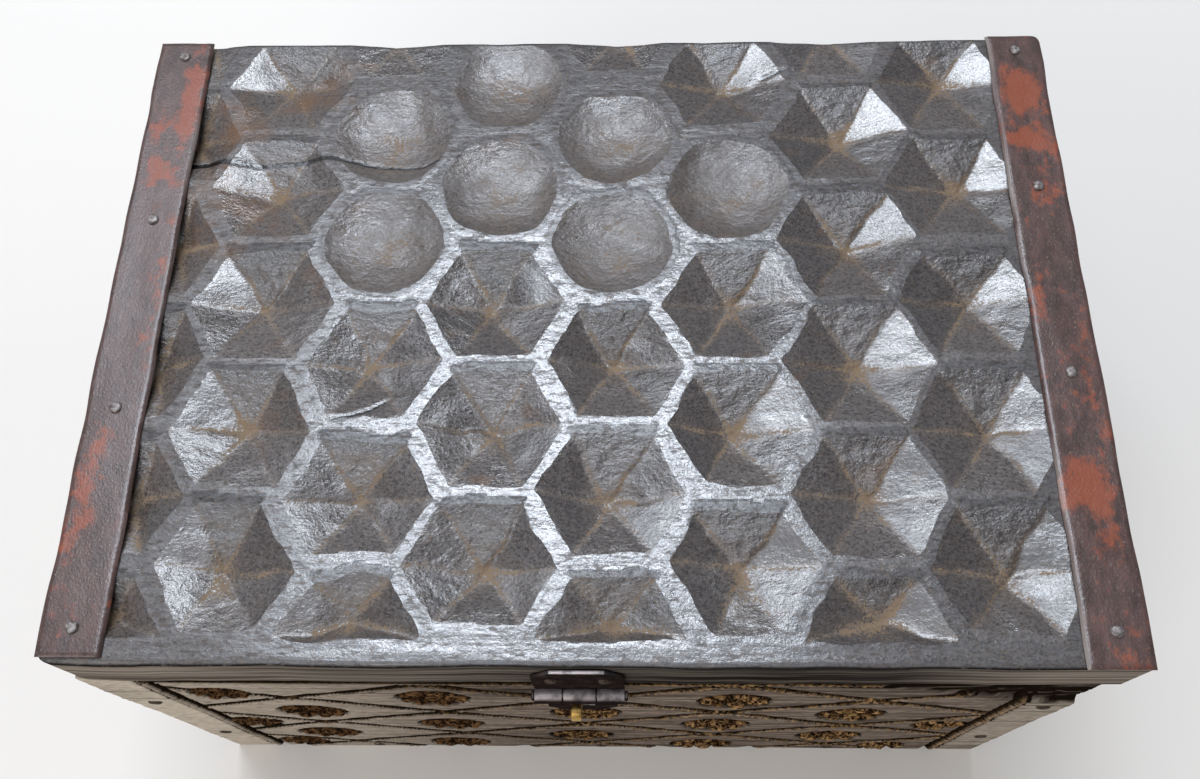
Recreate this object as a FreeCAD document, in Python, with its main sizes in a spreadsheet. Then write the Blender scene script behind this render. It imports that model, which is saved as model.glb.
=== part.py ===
import FreeCAD
import Part
import Sketcher
import math
import os

Vector = FreeCAD.Vector
Rotation = FreeCAD.Rotation
Placement = FreeCAD.Placement

doc = FreeCAD.newDocument("carved_storage_box")

# Driving dimensions, in millimetres
SIZES = [
    ("box_length", 300.0, "outside length of body and lid, along X"),
    ("box_depth", 212.0, "outside depth of body and lid, along Y"),
    ("body_height", 153.0, "height of the four walls"),
    ("wall_thickness", 16.0, "front, back and end boards"),
    ("base_thickness", 14.0, "bottom board"),
    ("lid_thickness", 25.0, "carved lid plank"),
    ("cell_column_pitch", 36.35, "honeycomb column to column"),
    ("cell_row_pitch", 41.7, "honeycomb row to row"),
    ("cell_rim", 4.9, "flat rim between neighbouring pits"),
    ("pit_depth", 6.3, "faceted pits of the lid"),
    ("bowl_depth", 5.2, "round hollows of the lid"),
    ("rear_pit_depth", 2.5, "half pits that run out at the back edge"),
    ("carving_front_margin", 7.3, "plain strip of lid along the front"),
    ("carving_end_margin", 11.0, "lid end to the first cut, under the strips"),
    ("cell_column_inset", 11.0, "lid end to the centre of the first column"),
    ("cell_back_inset", 17.5, "back edge to the first full pit"),
    ("lattice_half_width", 46.0, "half a diamond of the front, along X"),
    ("lattice_half_height", 26.3, "half a diamond of the front, along Z"),
    ("lattice_shift", -4.3, "middle column from the centre of the front"),
    ("lattice_drop", 60.5, "top edge to the middle row"),
    ("groove_width", 4.6, "carved lines of the front"),
    ("groove_depth", 2.0, "carved lines of the front"),
    ("stile_width", 17.5, "plain ends of the front"),
    ("top_border", 5.0, "top edge of the front to its carved line"),
    ("rosette_radius", 11.7, "sunk flowers of the front"),
    ("edge_rosette_radius", 9.3, "smaller flowers beside the stiles"),
    ("edge_rosette_inset", 13.5, "stile to the centre of such a flower"),
    ("corner_rosette_radius", 9.5, "flower in the upper left corner"),
    ("corner_rosette_inset", 17.0, "left stile to the centre of that flower"),
    ("corner_rosette_drop", 24.5, "top edge to the centre of that flower"),
    ("rosette_depth", 3.0, "sunk flowers of the front"),
    ("boss_foot_radius", 4.4, "boss of a flower at its foot"),
    ("boss_top_radius", 2.6, "boss of a flower at its top"),
    ("strip_width", 18.5, "iron strips on the lid"),
    ("strip_thickness", 1.2, "iron strips on the lid"),
    ("left_strip_setback", 1.5, "front edge to the front end of the left strip"),
    ("strip_nail_inset", 10.0, "front edge to the first strip nail"),
    ("strip_nail_back_inset", 6.5, "back edge to the last strip nail"),
    ("right_nail_shift", 11.0, "how far back the right strip's inner nails sit"),
    ("tack_head_radius", 1.9, "nails of strips, hinges and hasp"),
    ("tack_head_height", 0.8, "nails of strips, hinges and hasp"),
    ("tack_radius", 0.9, "nails of strips, hinges and hasp"),
    ("tack_length", 13.0, "nails of strips, hinges and hasp"),
    ("nail_head_radius", 2.4, "nails of the walls"),
    ("nail_head_height", 0.9, "nails of the walls"),
    ("nail_radius", 1.3, "nails of the walls"),
    ("nail_length", 38.0, "nails of the walls"),
    ("nail_clearance", 0.05, "nail to its hole"),
    ("hole_overrun", 0.5, "nail hole beyond the point of the nail"),
    ("corner_nail_inset", 41.3, "top and bottom edges to the corner nails"),
    ("base_nail_inset", 60.0, "box end to the outer nails of the bottom"),
    ("base_nail_side_inset", 63.6, "front and back to the end nails of the bottom"),
    ("sheet_thickness", 1.1, "hinge and hasp leaves"),
    ("pin_radius", 1.2, "hinge and hasp pins"),
    ("pin_clearance", 0.05, "pin to knuckle"),
    ("pin_head_radius", 1.74, "heads of the pins"),
    ("pin_head_height", 0.66, "heads of the pins"),
    ("knuckle_gap", 0.3, "knuckle to knuckle and knuckle to wood"),
    ("outer_knuckle", 8.0, "length of each outer knuckle"),
    ("hinge_width", 26.0, "hinge and hasp leaves, along X"),
    ("hinge_leaf_height", 19.0, "hinge axis to the far edge of a leaf"),
    ("hinge_inset", 49.0, "box end to the middle of a hinge"),
    ("tack_spacing", 15.0, "two nails of one leaf"),
    ("tack_rise", 12.0, "hinge axis to the nails of a leaf"),
    ("hasp_shift", -3.4, "middle of the hasp from the centre of the front"),
    ("hasp_drop", 4.0, "lid underside to the hasp axis"),
    ("hasp_leaf_height", 25.5, "hasp axis to the top of its upper leaf"),
    ("hasp_top_width", 15.0, "top edge between the cut corners"),
    ("hasp_corner", 7.0, "height of the cut corners"),
    ("strap_width", 21.5, "hanging strap of the hasp"),
    ("strap_shoulder", 29.0, "hasp axis to the shoulders of the strap"),
    ("strap_length", 35.5, "hasp axis to the tip of the strap"),
    ("strap_tip_width", 10.0, "tip of the strap"),
    ("slot_width", 7.6, "slot of the strap, along X"),
    ("slot_clearance", 0.9, "slot end to the staple eye"),
    ("staple_drop", 22.0, "hasp axis to the middle of the staple eye"),
    ("staple_shift", -1.7, "staple from the middle of the hasp"),
    ("staple_thickness", 3.0, "brass staple, along X"),
    ("eye_radius", 1.7, "hole of the staple eye"),
    ("eye_wall", 1.6, "brass round the hole"),
    ("eye_standoff", 0.2, "staple eye to the front board"),
    ("shank_height", 5.0, "staple through the front board"),
    ("tail_length", 7.0, "staple ends bent over inside"),
    ("tail_thickness", 1.5, "staple ends bent over inside"),
    ("shank_clearance", 0.1, "staple to its hole"),
]

# Shapes and limits of the cuts and nail heads
PROUD = 1.0  # how far a cutting tool stands out of the surface that it cuts
LEAST_PIT = 4.0  # a pit shorter than this is not cut
LEAST_GROOVE = 6.0  # a groove shorter than this is not cut
LATTICE_REACH = 11  # lines and flowers tried on each side of the middle
CUT_PIT_STEEPNESS = 1.25  # how much steeper the sides of a cut-short pit are
HEAD_RIM_SHARE = 0.45  # rim of a nail head, of its height
HEAD_FLAT_SHARE = 0.6  # flat top of a nail head, of its radius

sheet = doc.addObject("Spreadsheet::Sheet", "Sizes")
for row, (alias, value, note) in enumerate(SIZES, start=1):
    sheet.set("A%d" % row, alias)
    sheet.set("B%d" % row, str(value))
    sheet.set("C%d" % row, note)
    sheet.setAlias("B%d" % row, alias)
doc.recompute()


def size(alias):
    return float(sheet.get(alias))


def value_of(expression):
    return float(sheet.evalExpression(expression))


def place(thing, x="0", y="0", z="0"):
    thing.setExpression("Placement.Base.x", x)
    thing.setExpression("Placement.Base.y", y)
    thing.setExpression("Placement.Base.z", z)


# Helpers for bodies with sketches
def new_body(label, turned=False):
    body = doc.addObject("PartDesign::Body", label)
    body.Label = label
    if turned:
        body.Placement = Placement(Vector(0, 0, 0), Rotation(Vector(0, 0, 1), 180))
    return body


def new_sketch(body, role, offset=None):
    sketch = body.newObject("Sketcher::SketchObject", body.Label + "_sketch")
    plane = [item for item in body.Origin.OriginFeatures if item.Role == role][0]
    sketch.AttachmentSupport = [(plane, "")]
    sketch.MapMode = "FlatFace"
    if offset:
        sketch.setExpression("AttachmentOffset.Base.z", offset)
    return sketch


def pin_down(sketch, line, axis, expression, name):
    number = value_of(expression)
    if abs(number) < 1e-9:
        sketch.addConstraint(Sketcher.Constraint("PointOnObject", line, 1, -2 if axis == "X" else -1))
        return
    index = sketch.addConstraint(Sketcher.Constraint("Distance" + axis, -1, 1, line, 1, number))
    sketch.renameConstraint(index, name)
    sketch.setExpression("Constraints." + name, expression)


def outline(sketch, points):
    corners = [Vector(value_of(across), value_of(up), 0) for across, up in points]
    count = len(corners)
    lines = []
    for i in range(count):
        lines.append(sketch.addGeometry(Part.LineSegment(corners[i], corners[(i + 1) % count]), False))
    for i in range(count):
        sketch.addConstraint(Sketcher.Constraint("Coincident", lines[i], 2, lines[(i + 1) % count], 1))
    for i, (across, up) in enumerate(points):
        pin_down(sketch, lines[i], "X", across, "across%d_%d" % (lines[i], i))
        pin_down(sketch, lines[i], "Y", up, "up%d_%d" % (lines[i], i))


def circle(sketch, across, up, radius):
    centre = Vector(value_of(across), value_of(up), 0)
    ring = sketch.addGeometry(Part.Circle(centre, Vector(0, 0, 1), value_of(radius)), False)
    index = sketch.addConstraint(Sketcher.Constraint("Radius", ring, value_of(radius)))
    sketch.renameConstraint(index, "radius%d" % ring)
    sketch.setExpression("Constraints.radius%d" % ring, radius)
    for axis, expression in (("X", across), ("Y", up)):
        number = value_of(expression)
        if abs(number) < 1e-9:
            sketch.addConstraint(Sketcher.Constraint("PointOnObject", ring, 3, -2 if axis == "X" else -1))
            continue
        index = sketch.addConstraint(Sketcher.Constraint("Distance" + axis, -1, 1, ring, 3, number))
        name = "centre%s%d" % (axis, ring)
        sketch.renameConstraint(index, name)
        sketch.setExpression("Constraints." + name, expression)


def pad(body, sketch, length, reverse=False):
    feature = body.newObject("PartDesign::Pad", body.Label + "_pad")
    feature.Profile = sketch
    feature.setExpression("Length", length)
    feature.Reversed = reverse
    doc.recompute()
    return feature


def pocket(body, sketch, length, reverse=False):
    before = body.Shape.Volume
    feature = body.newObject("PartDesign::Pocket", body.Label + "_pocket")
    feature.Profile = sketch
    feature.setExpression("Length", length)
    feature.Reversed = reverse
    doc.recompute()
    if not body.Shape.Volume < before - 1e-6:
        raise RuntimeError("a pocket of %s cut nothing" % body.Label)
    return feature


def revolve(body, sketch, axis):
    feature = body.newObject("PartDesign::Revolution", body.Label + "_revolution")
    feature.Profile = sketch
    feature.ReferenceAxis = (sketch, [axis])
    feature.Angle = 360
    doc.recompute()
    return feature


# Nails: one pattern body for each kind, copied to every place of a group
def nail_pattern(label, kind):
    body = new_body(label)
    sketch = new_sketch(body, "XZ_Plane")
    head = "Sizes.%s_head_radius" % kind
    height = "Sizes.%s_head_height" % kind
    shank = "Sizes.%s_radius" % kind
    length = "Sizes.%s_length" % kind
    outline(
        sketch,
        [
            ("0", "-" + length),
            (shank, "-%s + 3 * %s" % (length, shank)),
            (shank, "0"),
            (head, "0"),
            (head, "%s * %s" % (height, HEAD_RIM_SHARE)),
            ("%s * %s" % (head, HEAD_FLAT_SHARE), height),
            ("0", height),
        ],
    )
    revolve(body, sketch, "V_Axis")
    return body


tack = nail_pattern("tack_pattern", "tack")
nail = nail_pattern("nail_pattern", "nail")

# A place is a point on the surface under the head and the way the head looks out
OUTWARD = {
    "front": Vector(0, -1, 0),
    "back": Vector(0, 1, 0),
    "left": Vector(-1, 0, 0),
    "right": Vector(1, 0, 0),
    "top": Vector(0, 0, 1),
}


def turned_to(point, side):
    return Placement(point, Rotation(Vector(0, 0, 1), OUTWARD[side]))


def nail_group(label, pattern, places):
    shapes = []
    for point, side in places:
        copy = pattern.Shape.copy()
        copy.Placement = turned_to(point, side).multiply(pattern.Placement)
        shapes.append(copy)
    group = doc.addObject("Part::Feature", label)
    group.Label = label
    group.Shape = Part.makeCompound(shapes)
    return group


def bores(places, kind):
    radius = size(kind + "_radius") + size("nail_clearance")
    depth = size(kind + "_length") + size("hole_overrun")
    return [Part.makeCylinder(radius, depth, point, -OUTWARD[side]) for point, side in places]


def sinks(places):
    radius = size("nail_head_radius") + size("nail_clearance")
    height = size("nail_head_height")
    return [Part.makeCylinder(radius, height + PROUD, point, OUTWARD[side]) for point, side in places]


def slab(label, length, width, height, x, y, z, cuts):
    blank = doc.addObject("Part::Box", label + "_blank")
    blank.setExpression("Length", length)
    blank.setExpression("Width", width)
    blank.setExpression("Height", height)
    place(blank, x, y, z)
    tools = doc.addObject("Part::Feature", label + "_cuts")
    tools.Shape = Part.makeCompound(cuts)
    piece = doc.addObject("Part::Cut", label)
    piece.Label = label
    piece.Base = blank
    piece.Tool = tools
    doc.recompute()
    if not piece.Shape.Volume < blank.Shape.Volume - 1e-6:
        raise RuntimeError("the cuts of %s took nothing away" % label)
    return piece


half_length = size("box_length") / 2
half_depth = size("box_depth") / 2
lid_bottom = size("body_height")
lid_top = lid_bottom + size("lid_thickness")
wall = size("wall_thickness")
base = size("base_thickness")
head_height = size("nail_head_height")

# Where the nails of the walls go, heads flush with the wood
corner_heights = [size("corner_nail_inset"), lid_bottom - size("corner_nail_inset")]
end_middle = half_length - wall / 2
front_corner_places = []
back_corner_places = []
for x in (-end_middle, end_middle):
    for z in corner_heights:
        front_corner_places.append((Vector(x, -half_depth + head_height, z), "front"))
        back_corner_places.append((Vector(x, half_depth - head_height, z), "back"))
base_front_places = []
base_back_places = []
base_nail_x = half_length - size("base_nail_inset")
for x in (-base_nail_x, 0.0, base_nail_x):
    base_front_places.append((Vector(x, -half_depth + head_height, base / 2), "front"))
    base_back_places.append((Vector(x, half_depth - head_height, base / 2), "back"))
base_left_places = []
base_right_places = []
base_nail_y = half_depth - size("base_nail_side_inset")
for y in (-base_nail_y, base_nail_y):
    base_left_places.append((Vector(-half_length + head_height, y, base / 2), "left"))
    base_right_places.append((Vector(half_length - head_height, y, base / 2), "right"))
base_places = base_front_places + base_back_places + base_left_places + base_right_places

# Where the small nails of strips, hinges and hasp go
strip_top = lid_top + size("strip_thickness")
strip_middle = half_length - size("strip_width") / 2
first_y = -half_depth + size("strip_nail_inset")
last_y = half_depth - size("strip_nail_back_inset")
third = (last_y - first_y) / 3
left_strip_places = []
right_strip_places = []
for y in (first_y, first_y + third, last_y - third, last_y):
    left_strip_places.append((Vector(-strip_middle, y, strip_top), "top"))
    shift = size("right_nail_shift") if first_y < y < last_y else 0.0
    right_strip_places.append((Vector(strip_middle, y + shift, strip_top), "top"))

hinge_z = lid_bottom
hinge_places = [-half_length + size("hinge_inset"), half_length - size("hinge_inset")]
leaf_face = half_depth + size("sheet_thickness")
hinge_lid_places = []
hinge_box_places = []
for middle in hinge_places:
    for x in (middle - size("tack_spacing") / 2, middle + size("tack_spacing") / 2):
        hinge_lid_places.append((Vector(x, leaf_face, hinge_z + size("tack_rise")), "back"))
        hinge_box_places.append((Vector(x, leaf_face, hinge_z - size("tack_rise")), "back"))

hasp_x = size("hasp_shift")
hasp_z = lid_bottom - size("hasp_drop")
hasp_places = []
for x in (hasp_x - size("tack_spacing") / 2, hasp_x + size("tack_spacing") / 2):
    hasp_places.append((Vector(x, -leaf_face, hasp_z + size("hasp_drop") + size("tack_rise")), "front"))


# Carving of the lid: faceted pits and round bowls on a honeycomb
BOWLS = {(2, 1), (2, 2), (3, 0), (3, 1), (4, 1), (4, 2), (5, 1)}


def clipped(points, axis, limit, keep_above):
    kept = []
    for i, here in enumerate(points):
        after = points[(i + 1) % len(points)]
        inside = (here[axis] >= limit) == keep_above
        inside_after = (after[axis] >= limit) == keep_above
        if inside:
            kept.append(here)
        if inside != inside_after:
            share = (limit - here[axis]) / (after[axis] - here[axis])
            kept.append(tuple(here[k] + share * (after[k] - here[k]) for k in (0, 1)))
    return kept


def pyramid(points, top, apex):
    ring = []
    for x, y in points:
        # the pit's sides go on a little above the wood, so that the cut leaves no skin
        out = 1 + PROUD / (top - apex.z)
        ring.append(Vector(apex.x + (x - apex.x) * out, apex.y + (y - apex.y) * out, top + PROUD))
    faces = [Part.Face(Part.makePolygon(ring + ring[:1]))]
    for i, corner in enumerate(ring):
        after = ring[(i + 1) % len(ring)]
        faces.append(Part.Face(Part.makePolygon([corner, after, apex, corner])))
    solid = Part.Solid(Part.Shell(faces))
    if solid.Volume < 0:
        solid.reverse()
    return solid


def lid_carving():
    flat = size("cell_row_pitch") / 2 - size("cell_rim") / 2
    reach = flat / math.cos(math.radians(30))
    low_x = -half_length + size("carving_end_margin")
    front_y = -half_depth + size("carving_front_margin")
    pitch = size("cell_column_pitch")
    pits = []
    column = 0
    x = -half_length + size("cell_column_inset")
    while x - reach < half_length - size("carving_end_margin"):
        y = half_depth - size("cell_back_inset")
        if column % 2 == 0:
            y += size("cell_row_pitch") / 2
        line = 0
        while y + flat > front_y + LEAST_PIT:
            if (column, line) in BOWLS:
                depth = size("bowl_depth")
                radius = (flat**2 + depth**2) / (2 * depth)
                pits.append(Part.makeSphere(radius, Vector(x, y, lid_top - depth + radius)))
            else:
                turns = [math.radians(60 * i) for i in range(6)]
                corners = [(x + reach * math.cos(a), y + reach * math.sin(a)) for a in turns]
                corners = clipped(corners, 0, low_x, True)
                corners = clipped(corners, 0, -low_x, False)
                corners = clipped(corners, 1, front_y, True)
                middle_x = sum(p[0] for p in corners) / len(corners)
                middle_y = sum(p[1] for p in corners) / len(corners)
                across = max(p[0] for p in corners) - min(p[0] for p in corners)
                along = max(p[1] for p in corners) - min(p[1] for p in corners)
                slope = CUT_PIT_STEEPNESS * size("pit_depth") / flat
                deep = min(size("pit_depth"), slope * min(across, along) / 2)
                if y > half_depth:
                    deep = min(deep, size("rear_pit_depth"))
                pits.append(pyramid(corners, lid_top, Vector(middle_x, middle_y, lid_top - deep)))
            y -= size("cell_row_pitch")
            line += 1
        x += pitch
        column += 1
    return pits


# Carving of the front: a diamond lattice with a sunk flower in every diamond
def groove(start, end):
    along = (end - start).normalize()
    out = Vector(0, -1, 0)
    side = along.cross(out)
    half = size("groove_width") / 2
    depth = size("groove_depth")
    spread = half * (1 + PROUD / depth)
    corners = [
        start + side * spread + out * PROUD,
        start - side * spread + out * PROUD,
        start - out * depth,
    ]
    profile = Part.Face(Part.makePolygon(corners + corners[:1]))
    return profile.extrude(end - start)


def flower(x, z, radius):
    depth = size("rosette_depth")
    out = Vector(0, -1, 0)
    floor = Vector(x, depth - half_depth, z)
    hollow = Part.makeCylinder(radius, depth + PROUD, floor, out)
    boss = Part.makeCone(size("boss_foot_radius"), size("boss_top_radius"), depth, floor, out)
    return hollow.cut(boss)


def front_carving():
    face_y = -half_depth
    left = -half_length + size("stile_width")
    top = lid_bottom - size("top_border")
    wide = size("lattice_half_width")
    tall = size("lattice_half_height")
    centre_x = size("lattice_shift")
    centre_z = lid_bottom - size("lattice_drop")
    lines = []
    for slope in (1, -1):
        for number in range(-LATTICE_REACH, LATTICE_REACH + 1, 2):
            ends = []
            for z in (-PROUD, top):
                ends.append((centre_x + wide * (number - slope * (z - centre_z) / tall), z))
            ends = clipped(ends, 0, left, True)
            ends = clipped(ends, 0, -left, False) if len(ends) > 1 else []
            if len(ends) < 2:
                continue
            first, last = (Vector(p[0], face_y, p[1]) for p in ends[:2])
            if (last - first).Length > LEAST_GROOVE:
                lines.append(groove(first, last))
    for x in (left, -left):
        lines.append(groove(Vector(x, face_y, -PROUD), Vector(x, face_y, top)))
    lines.append(groove(Vector(left, face_y, top), Vector(-left, face_y, top)))
    lattice = lines[0].multiFuse(lines[1:])

    flowers = []
    for row in range(-LATTICE_REACH, LATTICE_REACH + 1):
        z = centre_z + row * tall
        for column in range(-LATTICE_REACH, LATTICE_REACH + 1):
            x = centre_x + column * wide
            radius = size("rosette_radius")
            at_edge = abs(x) > -left - radius - size("groove_width") / 2
            if (row + column) % 2 or abs(x) > -left + wide / 2:
                continue
            if at_edge and row > 0:
                continue
            if at_edge:
                radius = size("edge_rosette_radius")
                x = math.copysign(-left - size("edge_rosette_inset"), x)
            if z - radius > 0 and z + radius < top - size("groove_width") / 2:
                flowers.append(flower(x, z, radius))
    corner_x = left + size("corner_rosette_inset")
    corner_z = lid_bottom - size("corner_rosette_drop")
    flowers.append(flower(corner_x, corner_z, size("corner_rosette_radius")))
    return [lattice] + flowers


# Wooden pieces
staple_x = hasp_x + size("staple_shift")
staple_z = hasp_z - size("staple_drop")
shank_gap = size("shank_clearance")
shank_hole = Part.makeBox(
    size("staple_thickness") + 2 * shank_gap,
    wall + 2 * PROUD,
    size("shank_height") + 2 * shank_gap,
    Vector(
        staple_x - size("staple_thickness") / 2 - shank_gap,
        -half_depth - PROUD,
        staple_z - size("shank_height") / 2 - shank_gap,
    ),
)
front_places = front_corner_places + base_front_places
front_tools = front_carving() + bores(front_places, "nail") + sinks(front_places)
front_cuts = front_tools[0].multiFuse(front_tools[1:] + [shank_hole])
front_panel = slab(
    "front_panel",
    "Sizes.box_length",
    "Sizes.wall_thickness",
    "Sizes.body_height",
    "-Sizes.box_length / 2",
    "-Sizes.box_depth / 2",
    "0",
    [front_cuts],
)

back_places = back_corner_places + base_back_places
back_panel = slab(
    "back_panel",
    "Sizes.box_length",
    "Sizes.wall_thickness",
    "Sizes.body_height",
    "-Sizes.box_length / 2",
    "Sizes.box_depth / 2 - Sizes.wall_thickness",
    "0",
    bores(back_places, "nail") + sinks(back_places) + bores(hinge_box_places, "tack"),
)


def end_panel(label, x, side, base_end_places):
    corners = [p for p in front_corner_places + back_corner_places if (p[0].x < 0) == (side == "left")]
    return slab(
        label,
        "Sizes.wall_thickness",
        "Sizes.box_depth - 2 * Sizes.wall_thickness",
        "Sizes.body_height",
        x,
        "-Sizes.box_depth / 2 + Sizes.wall_thickness",
        "0",
        bores(corners, "nail") + bores(base_end_places, "nail") + sinks(base_end_places),
    )


left_panel = end_panel("left_panel", "-Sizes.box_length / 2", "left", base_left_places)
right_x = "Sizes.box_length / 2 - Sizes.wall_thickness"
right_panel = end_panel("right_panel", right_x, "right", base_right_places)

bottom_board = slab(
    "bottom_board",
    "Sizes.box_length - 2 * Sizes.wall_thickness",
    "Sizes.box_depth - 2 * Sizes.wall_thickness",
    "Sizes.base_thickness",
    "-Sizes.box_length / 2 + Sizes.wall_thickness",
    "-Sizes.box_depth / 2 + Sizes.wall_thickness",
    "0",
    bores(base_places, "nail"),
)

lid_nail_places = left_strip_places + right_strip_places + hinge_lid_places + hasp_places
lid_tools = lid_carving() + bores(lid_nail_places, "tack")
lid_plank = slab(
    "lid_plank",
    "Sizes.box_length",
    "Sizes.box_depth",
    "Sizes.lid_thickness",
    "-Sizes.box_length / 2",
    "-Sizes.box_depth / 2",
    "Sizes.body_height",
    [lid_tools[0].multiFuse(lid_tools[1:])],
)

# Iron strips on the lid
left_strip = slab(
    "left_edge_strip",
    "Sizes.strip_width",
    "Sizes.box_depth - Sizes.left_strip_setback",
    "Sizes.strip_thickness",
    "-Sizes.box_length / 2",
    "-Sizes.box_depth / 2 + Sizes.left_strip_setback",
    "Sizes.body_height + Sizes.lid_thickness",
    bores(left_strip_places, "tack"),
)
right_strip = slab(
    "right_edge_strip",
    "Sizes.strip_width",
    "Sizes.box_depth",
    "Sizes.strip_thickness",
    "Sizes.box_length / 2 - Sizes.strip_width",
    "-Sizes.box_depth / 2",
    "Sizes.body_height + Sizes.lid_thickness",
    bores(right_strip_places, "tack"),
)

# Hinges and hasp: the pin axis is local X, the wood lies on the +Y side
BORE = "(Sizes.pin_radius + Sizes.pin_clearance)"
KNUCKLE = "(Sizes.pin_radius + Sizes.pin_clearance + Sizes.sheet_thickness)"
STANDOFF = "(Sizes.pin_radius + Sizes.pin_clearance + Sizes.sheet_thickness + Sizes.knuckle_gap)"
CLEAR = "(Sizes.pin_radius + Sizes.pin_clearance + Sizes.sheet_thickness + 2 * Sizes.knuckle_gap)"
INNER = "(Sizes.hinge_width / 2 - Sizes.outer_knuckle - Sizes.knuckle_gap)"
NOTCH = "(Sizes.hinge_width / 2 - Sizes.outer_knuckle)"
WIDE = "(Sizes.hinge_width / 2)"


def knuckle(body, start, length):
    sketch = new_sketch(body, "YZ_Plane", start)
    circle(sketch, "0", "0", KNUCKLE)
    circle(sketch, "0", "0", BORE)
    pad(body, sketch, length)


def flat_leaf(body, points, back):
    sketch = new_sketch(body, "XZ_Plane", "-" + back)
    outline(sketch, points)
    pad(body, sketch, "Sizes.sheet_thickness")


def leaf_holes(body, rise):
    sketch = new_sketch(body, "XZ_Plane", "-" + STANDOFF)
    for side in ("-", ""):
        circle(sketch, side + "Sizes.tack_spacing / 2", rise, "Sizes.tack_radius + Sizes.nail_clearance")
    pocket(body, sketch, "Sizes.sheet_thickness", True)


def outer_leaf_points(far, direction):
    """Leaf with the two outer knuckles; its middle is notched for the other leaf."""
    clear = direction + CLEAR
    return [
        ("-" + WIDE, "0"),
        ("-" + NOTCH, "0"),
        ("-" + NOTCH, clear),
        (NOTCH, clear),
        (NOTCH, "0"),
        (WIDE, "0"),
    ] + far


def inner_leaf_points(far, direction):
    """Leaf with the middle knuckle; its shoulders pass clear of the outer ones."""
    clear = direction + CLEAR
    return [
        ("-" + INNER, clear),
        ("-" + INNER, "0"),
        (INNER, "0"),
        (INNER, clear),
    ] + far


def outer_knuckles(body):
    knuckle(body, "-" + WIDE, "Sizes.outer_knuckle")
    knuckle(body, NOTCH, "Sizes.outer_knuckle")


def inner_knuckle(body):
    knuckle(body, "-" + INNER, "2 * " + INNER)


def pin(label, turned):
    body = new_body(label, turned)
    sketch = new_sketch(body, "XZ_Plane")
    end = "(Sizes.hinge_width / 2 + Sizes.knuckle_gap)"
    cap = "(Sizes.hinge_width / 2 + Sizes.knuckle_gap + Sizes.pin_head_height)"
    head = "Sizes.pin_head_radius"
    outline(
        sketch,
        [
            ("-" + cap, "0"),
            ("-" + cap, "Sizes.pin_radius"),
            ("-" + end, head),
            ("-" + end, "Sizes.pin_radius"),
            (end, "Sizes.pin_radius"),
            (end, head),
            (cap, "Sizes.pin_radius"),
            (cap, "0"),
        ],
    )
    revolve(body, sketch, "H_Axis")
    return body


HINGE_Y = "Sizes.box_depth / 2 + " + STANDOFF
LEFT_X = "-Sizes.box_length / 2 + Sizes.hinge_inset"
RIGHT_X = "Sizes.box_length / 2 - Sizes.hinge_inset"
LEAF = "Sizes.hinge_leaf_height"
hinge_pieces = []
for side, x in (("left", LEFT_X), ("right", RIGHT_X)):
    lid_leaf = new_body(side + "_hinge_lid_leaf", True)
    shoulders = [(WIDE, CLEAR), (WIDE, LEAF), ("-" + WIDE, LEAF), ("-" + WIDE, CLEAR)]
    flat_leaf(lid_leaf, inner_leaf_points(shoulders, ""), STANDOFF)
    inner_knuckle(lid_leaf)
    leaf_holes(lid_leaf, "Sizes.tack_rise")

    box_leaf = new_body(side + "_hinge_body_leaf", True)
    far_edge = [(WIDE, "-" + LEAF), ("-" + WIDE, "-" + LEAF)]
    flat_leaf(box_leaf, outer_leaf_points(far_edge, "-"), STANDOFF)
    outer_knuckles(box_leaf)
    leaf_holes(box_leaf, "-Sizes.tack_rise")

    hinge_pin = pin(side + "_hinge_pin", True)
    for body in (lid_leaf, box_leaf, hinge_pin):
        place(body, x, HINGE_Y, "Sizes.body_height")
        hinge_pieces.append(body)

HASP_Y = "-Sizes.box_depth / 2 - " + STANDOFF
HASP_Z = "Sizes.body_height - Sizes.hasp_drop"
hasp_leaf = new_body("hasp_lid_leaf")
top_edge = [
    (WIDE, "Sizes.hasp_leaf_height - Sizes.hasp_corner"),
    ("Sizes.hasp_top_width / 2", "Sizes.hasp_leaf_height"),
    ("-Sizes.hasp_top_width / 2", "Sizes.hasp_leaf_height"),
    ("-" + WIDE, "Sizes.hasp_leaf_height - Sizes.hasp_corner"),
]
flat_leaf(hasp_leaf, outer_leaf_points(top_edge, ""), STANDOFF)
outer_knuckles(hasp_leaf)
leaf_holes(hasp_leaf, "Sizes.hasp_drop + Sizes.tack_rise")

hasp_strap = new_body("hasp_strap")
strap_side = "Sizes.strap_width / 2"
strap_tip = "Sizes.strap_tip_width / 2"
strap_end = [
    (strap_side, "-" + CLEAR),
    (strap_side, "-Sizes.strap_shoulder"),
    (strap_tip, "-Sizes.strap_length"),
    ("-" + strap_tip, "-Sizes.strap_length"),
    ("-" + strap_side, "-Sizes.strap_shoulder"),
    ("-" + strap_side, "-" + CLEAR),
]
flat_leaf(hasp_strap, inner_leaf_points(strap_end, "-"), KNUCKLE)
inner_knuckle(hasp_strap)
slot = new_sketch(hasp_strap, "XZ_Plane", "-" + KNUCKLE)
slot_top = "-Sizes.staple_drop + Sizes.eye_radius + Sizes.eye_wall + Sizes.slot_clearance"
slot_foot = "-Sizes.staple_drop - Sizes.eye_radius - Sizes.eye_wall - Sizes.slot_clearance"
outline(
    slot,
    [
        ("-Sizes.slot_width / 2", slot_foot),
        ("Sizes.slot_width / 2", slot_foot),
        ("Sizes.slot_width / 2", slot_top),
        ("-Sizes.slot_width / 2", slot_top),
    ],
)
pocket(hasp_strap, slot, "Sizes.sheet_thickness", True)

hasp_pin = pin("hasp_pin", False)
for body in (hasp_leaf, hasp_strap, hasp_pin):
    place(body, "Sizes.hasp_shift", HASP_Y, HASP_Z)

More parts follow.
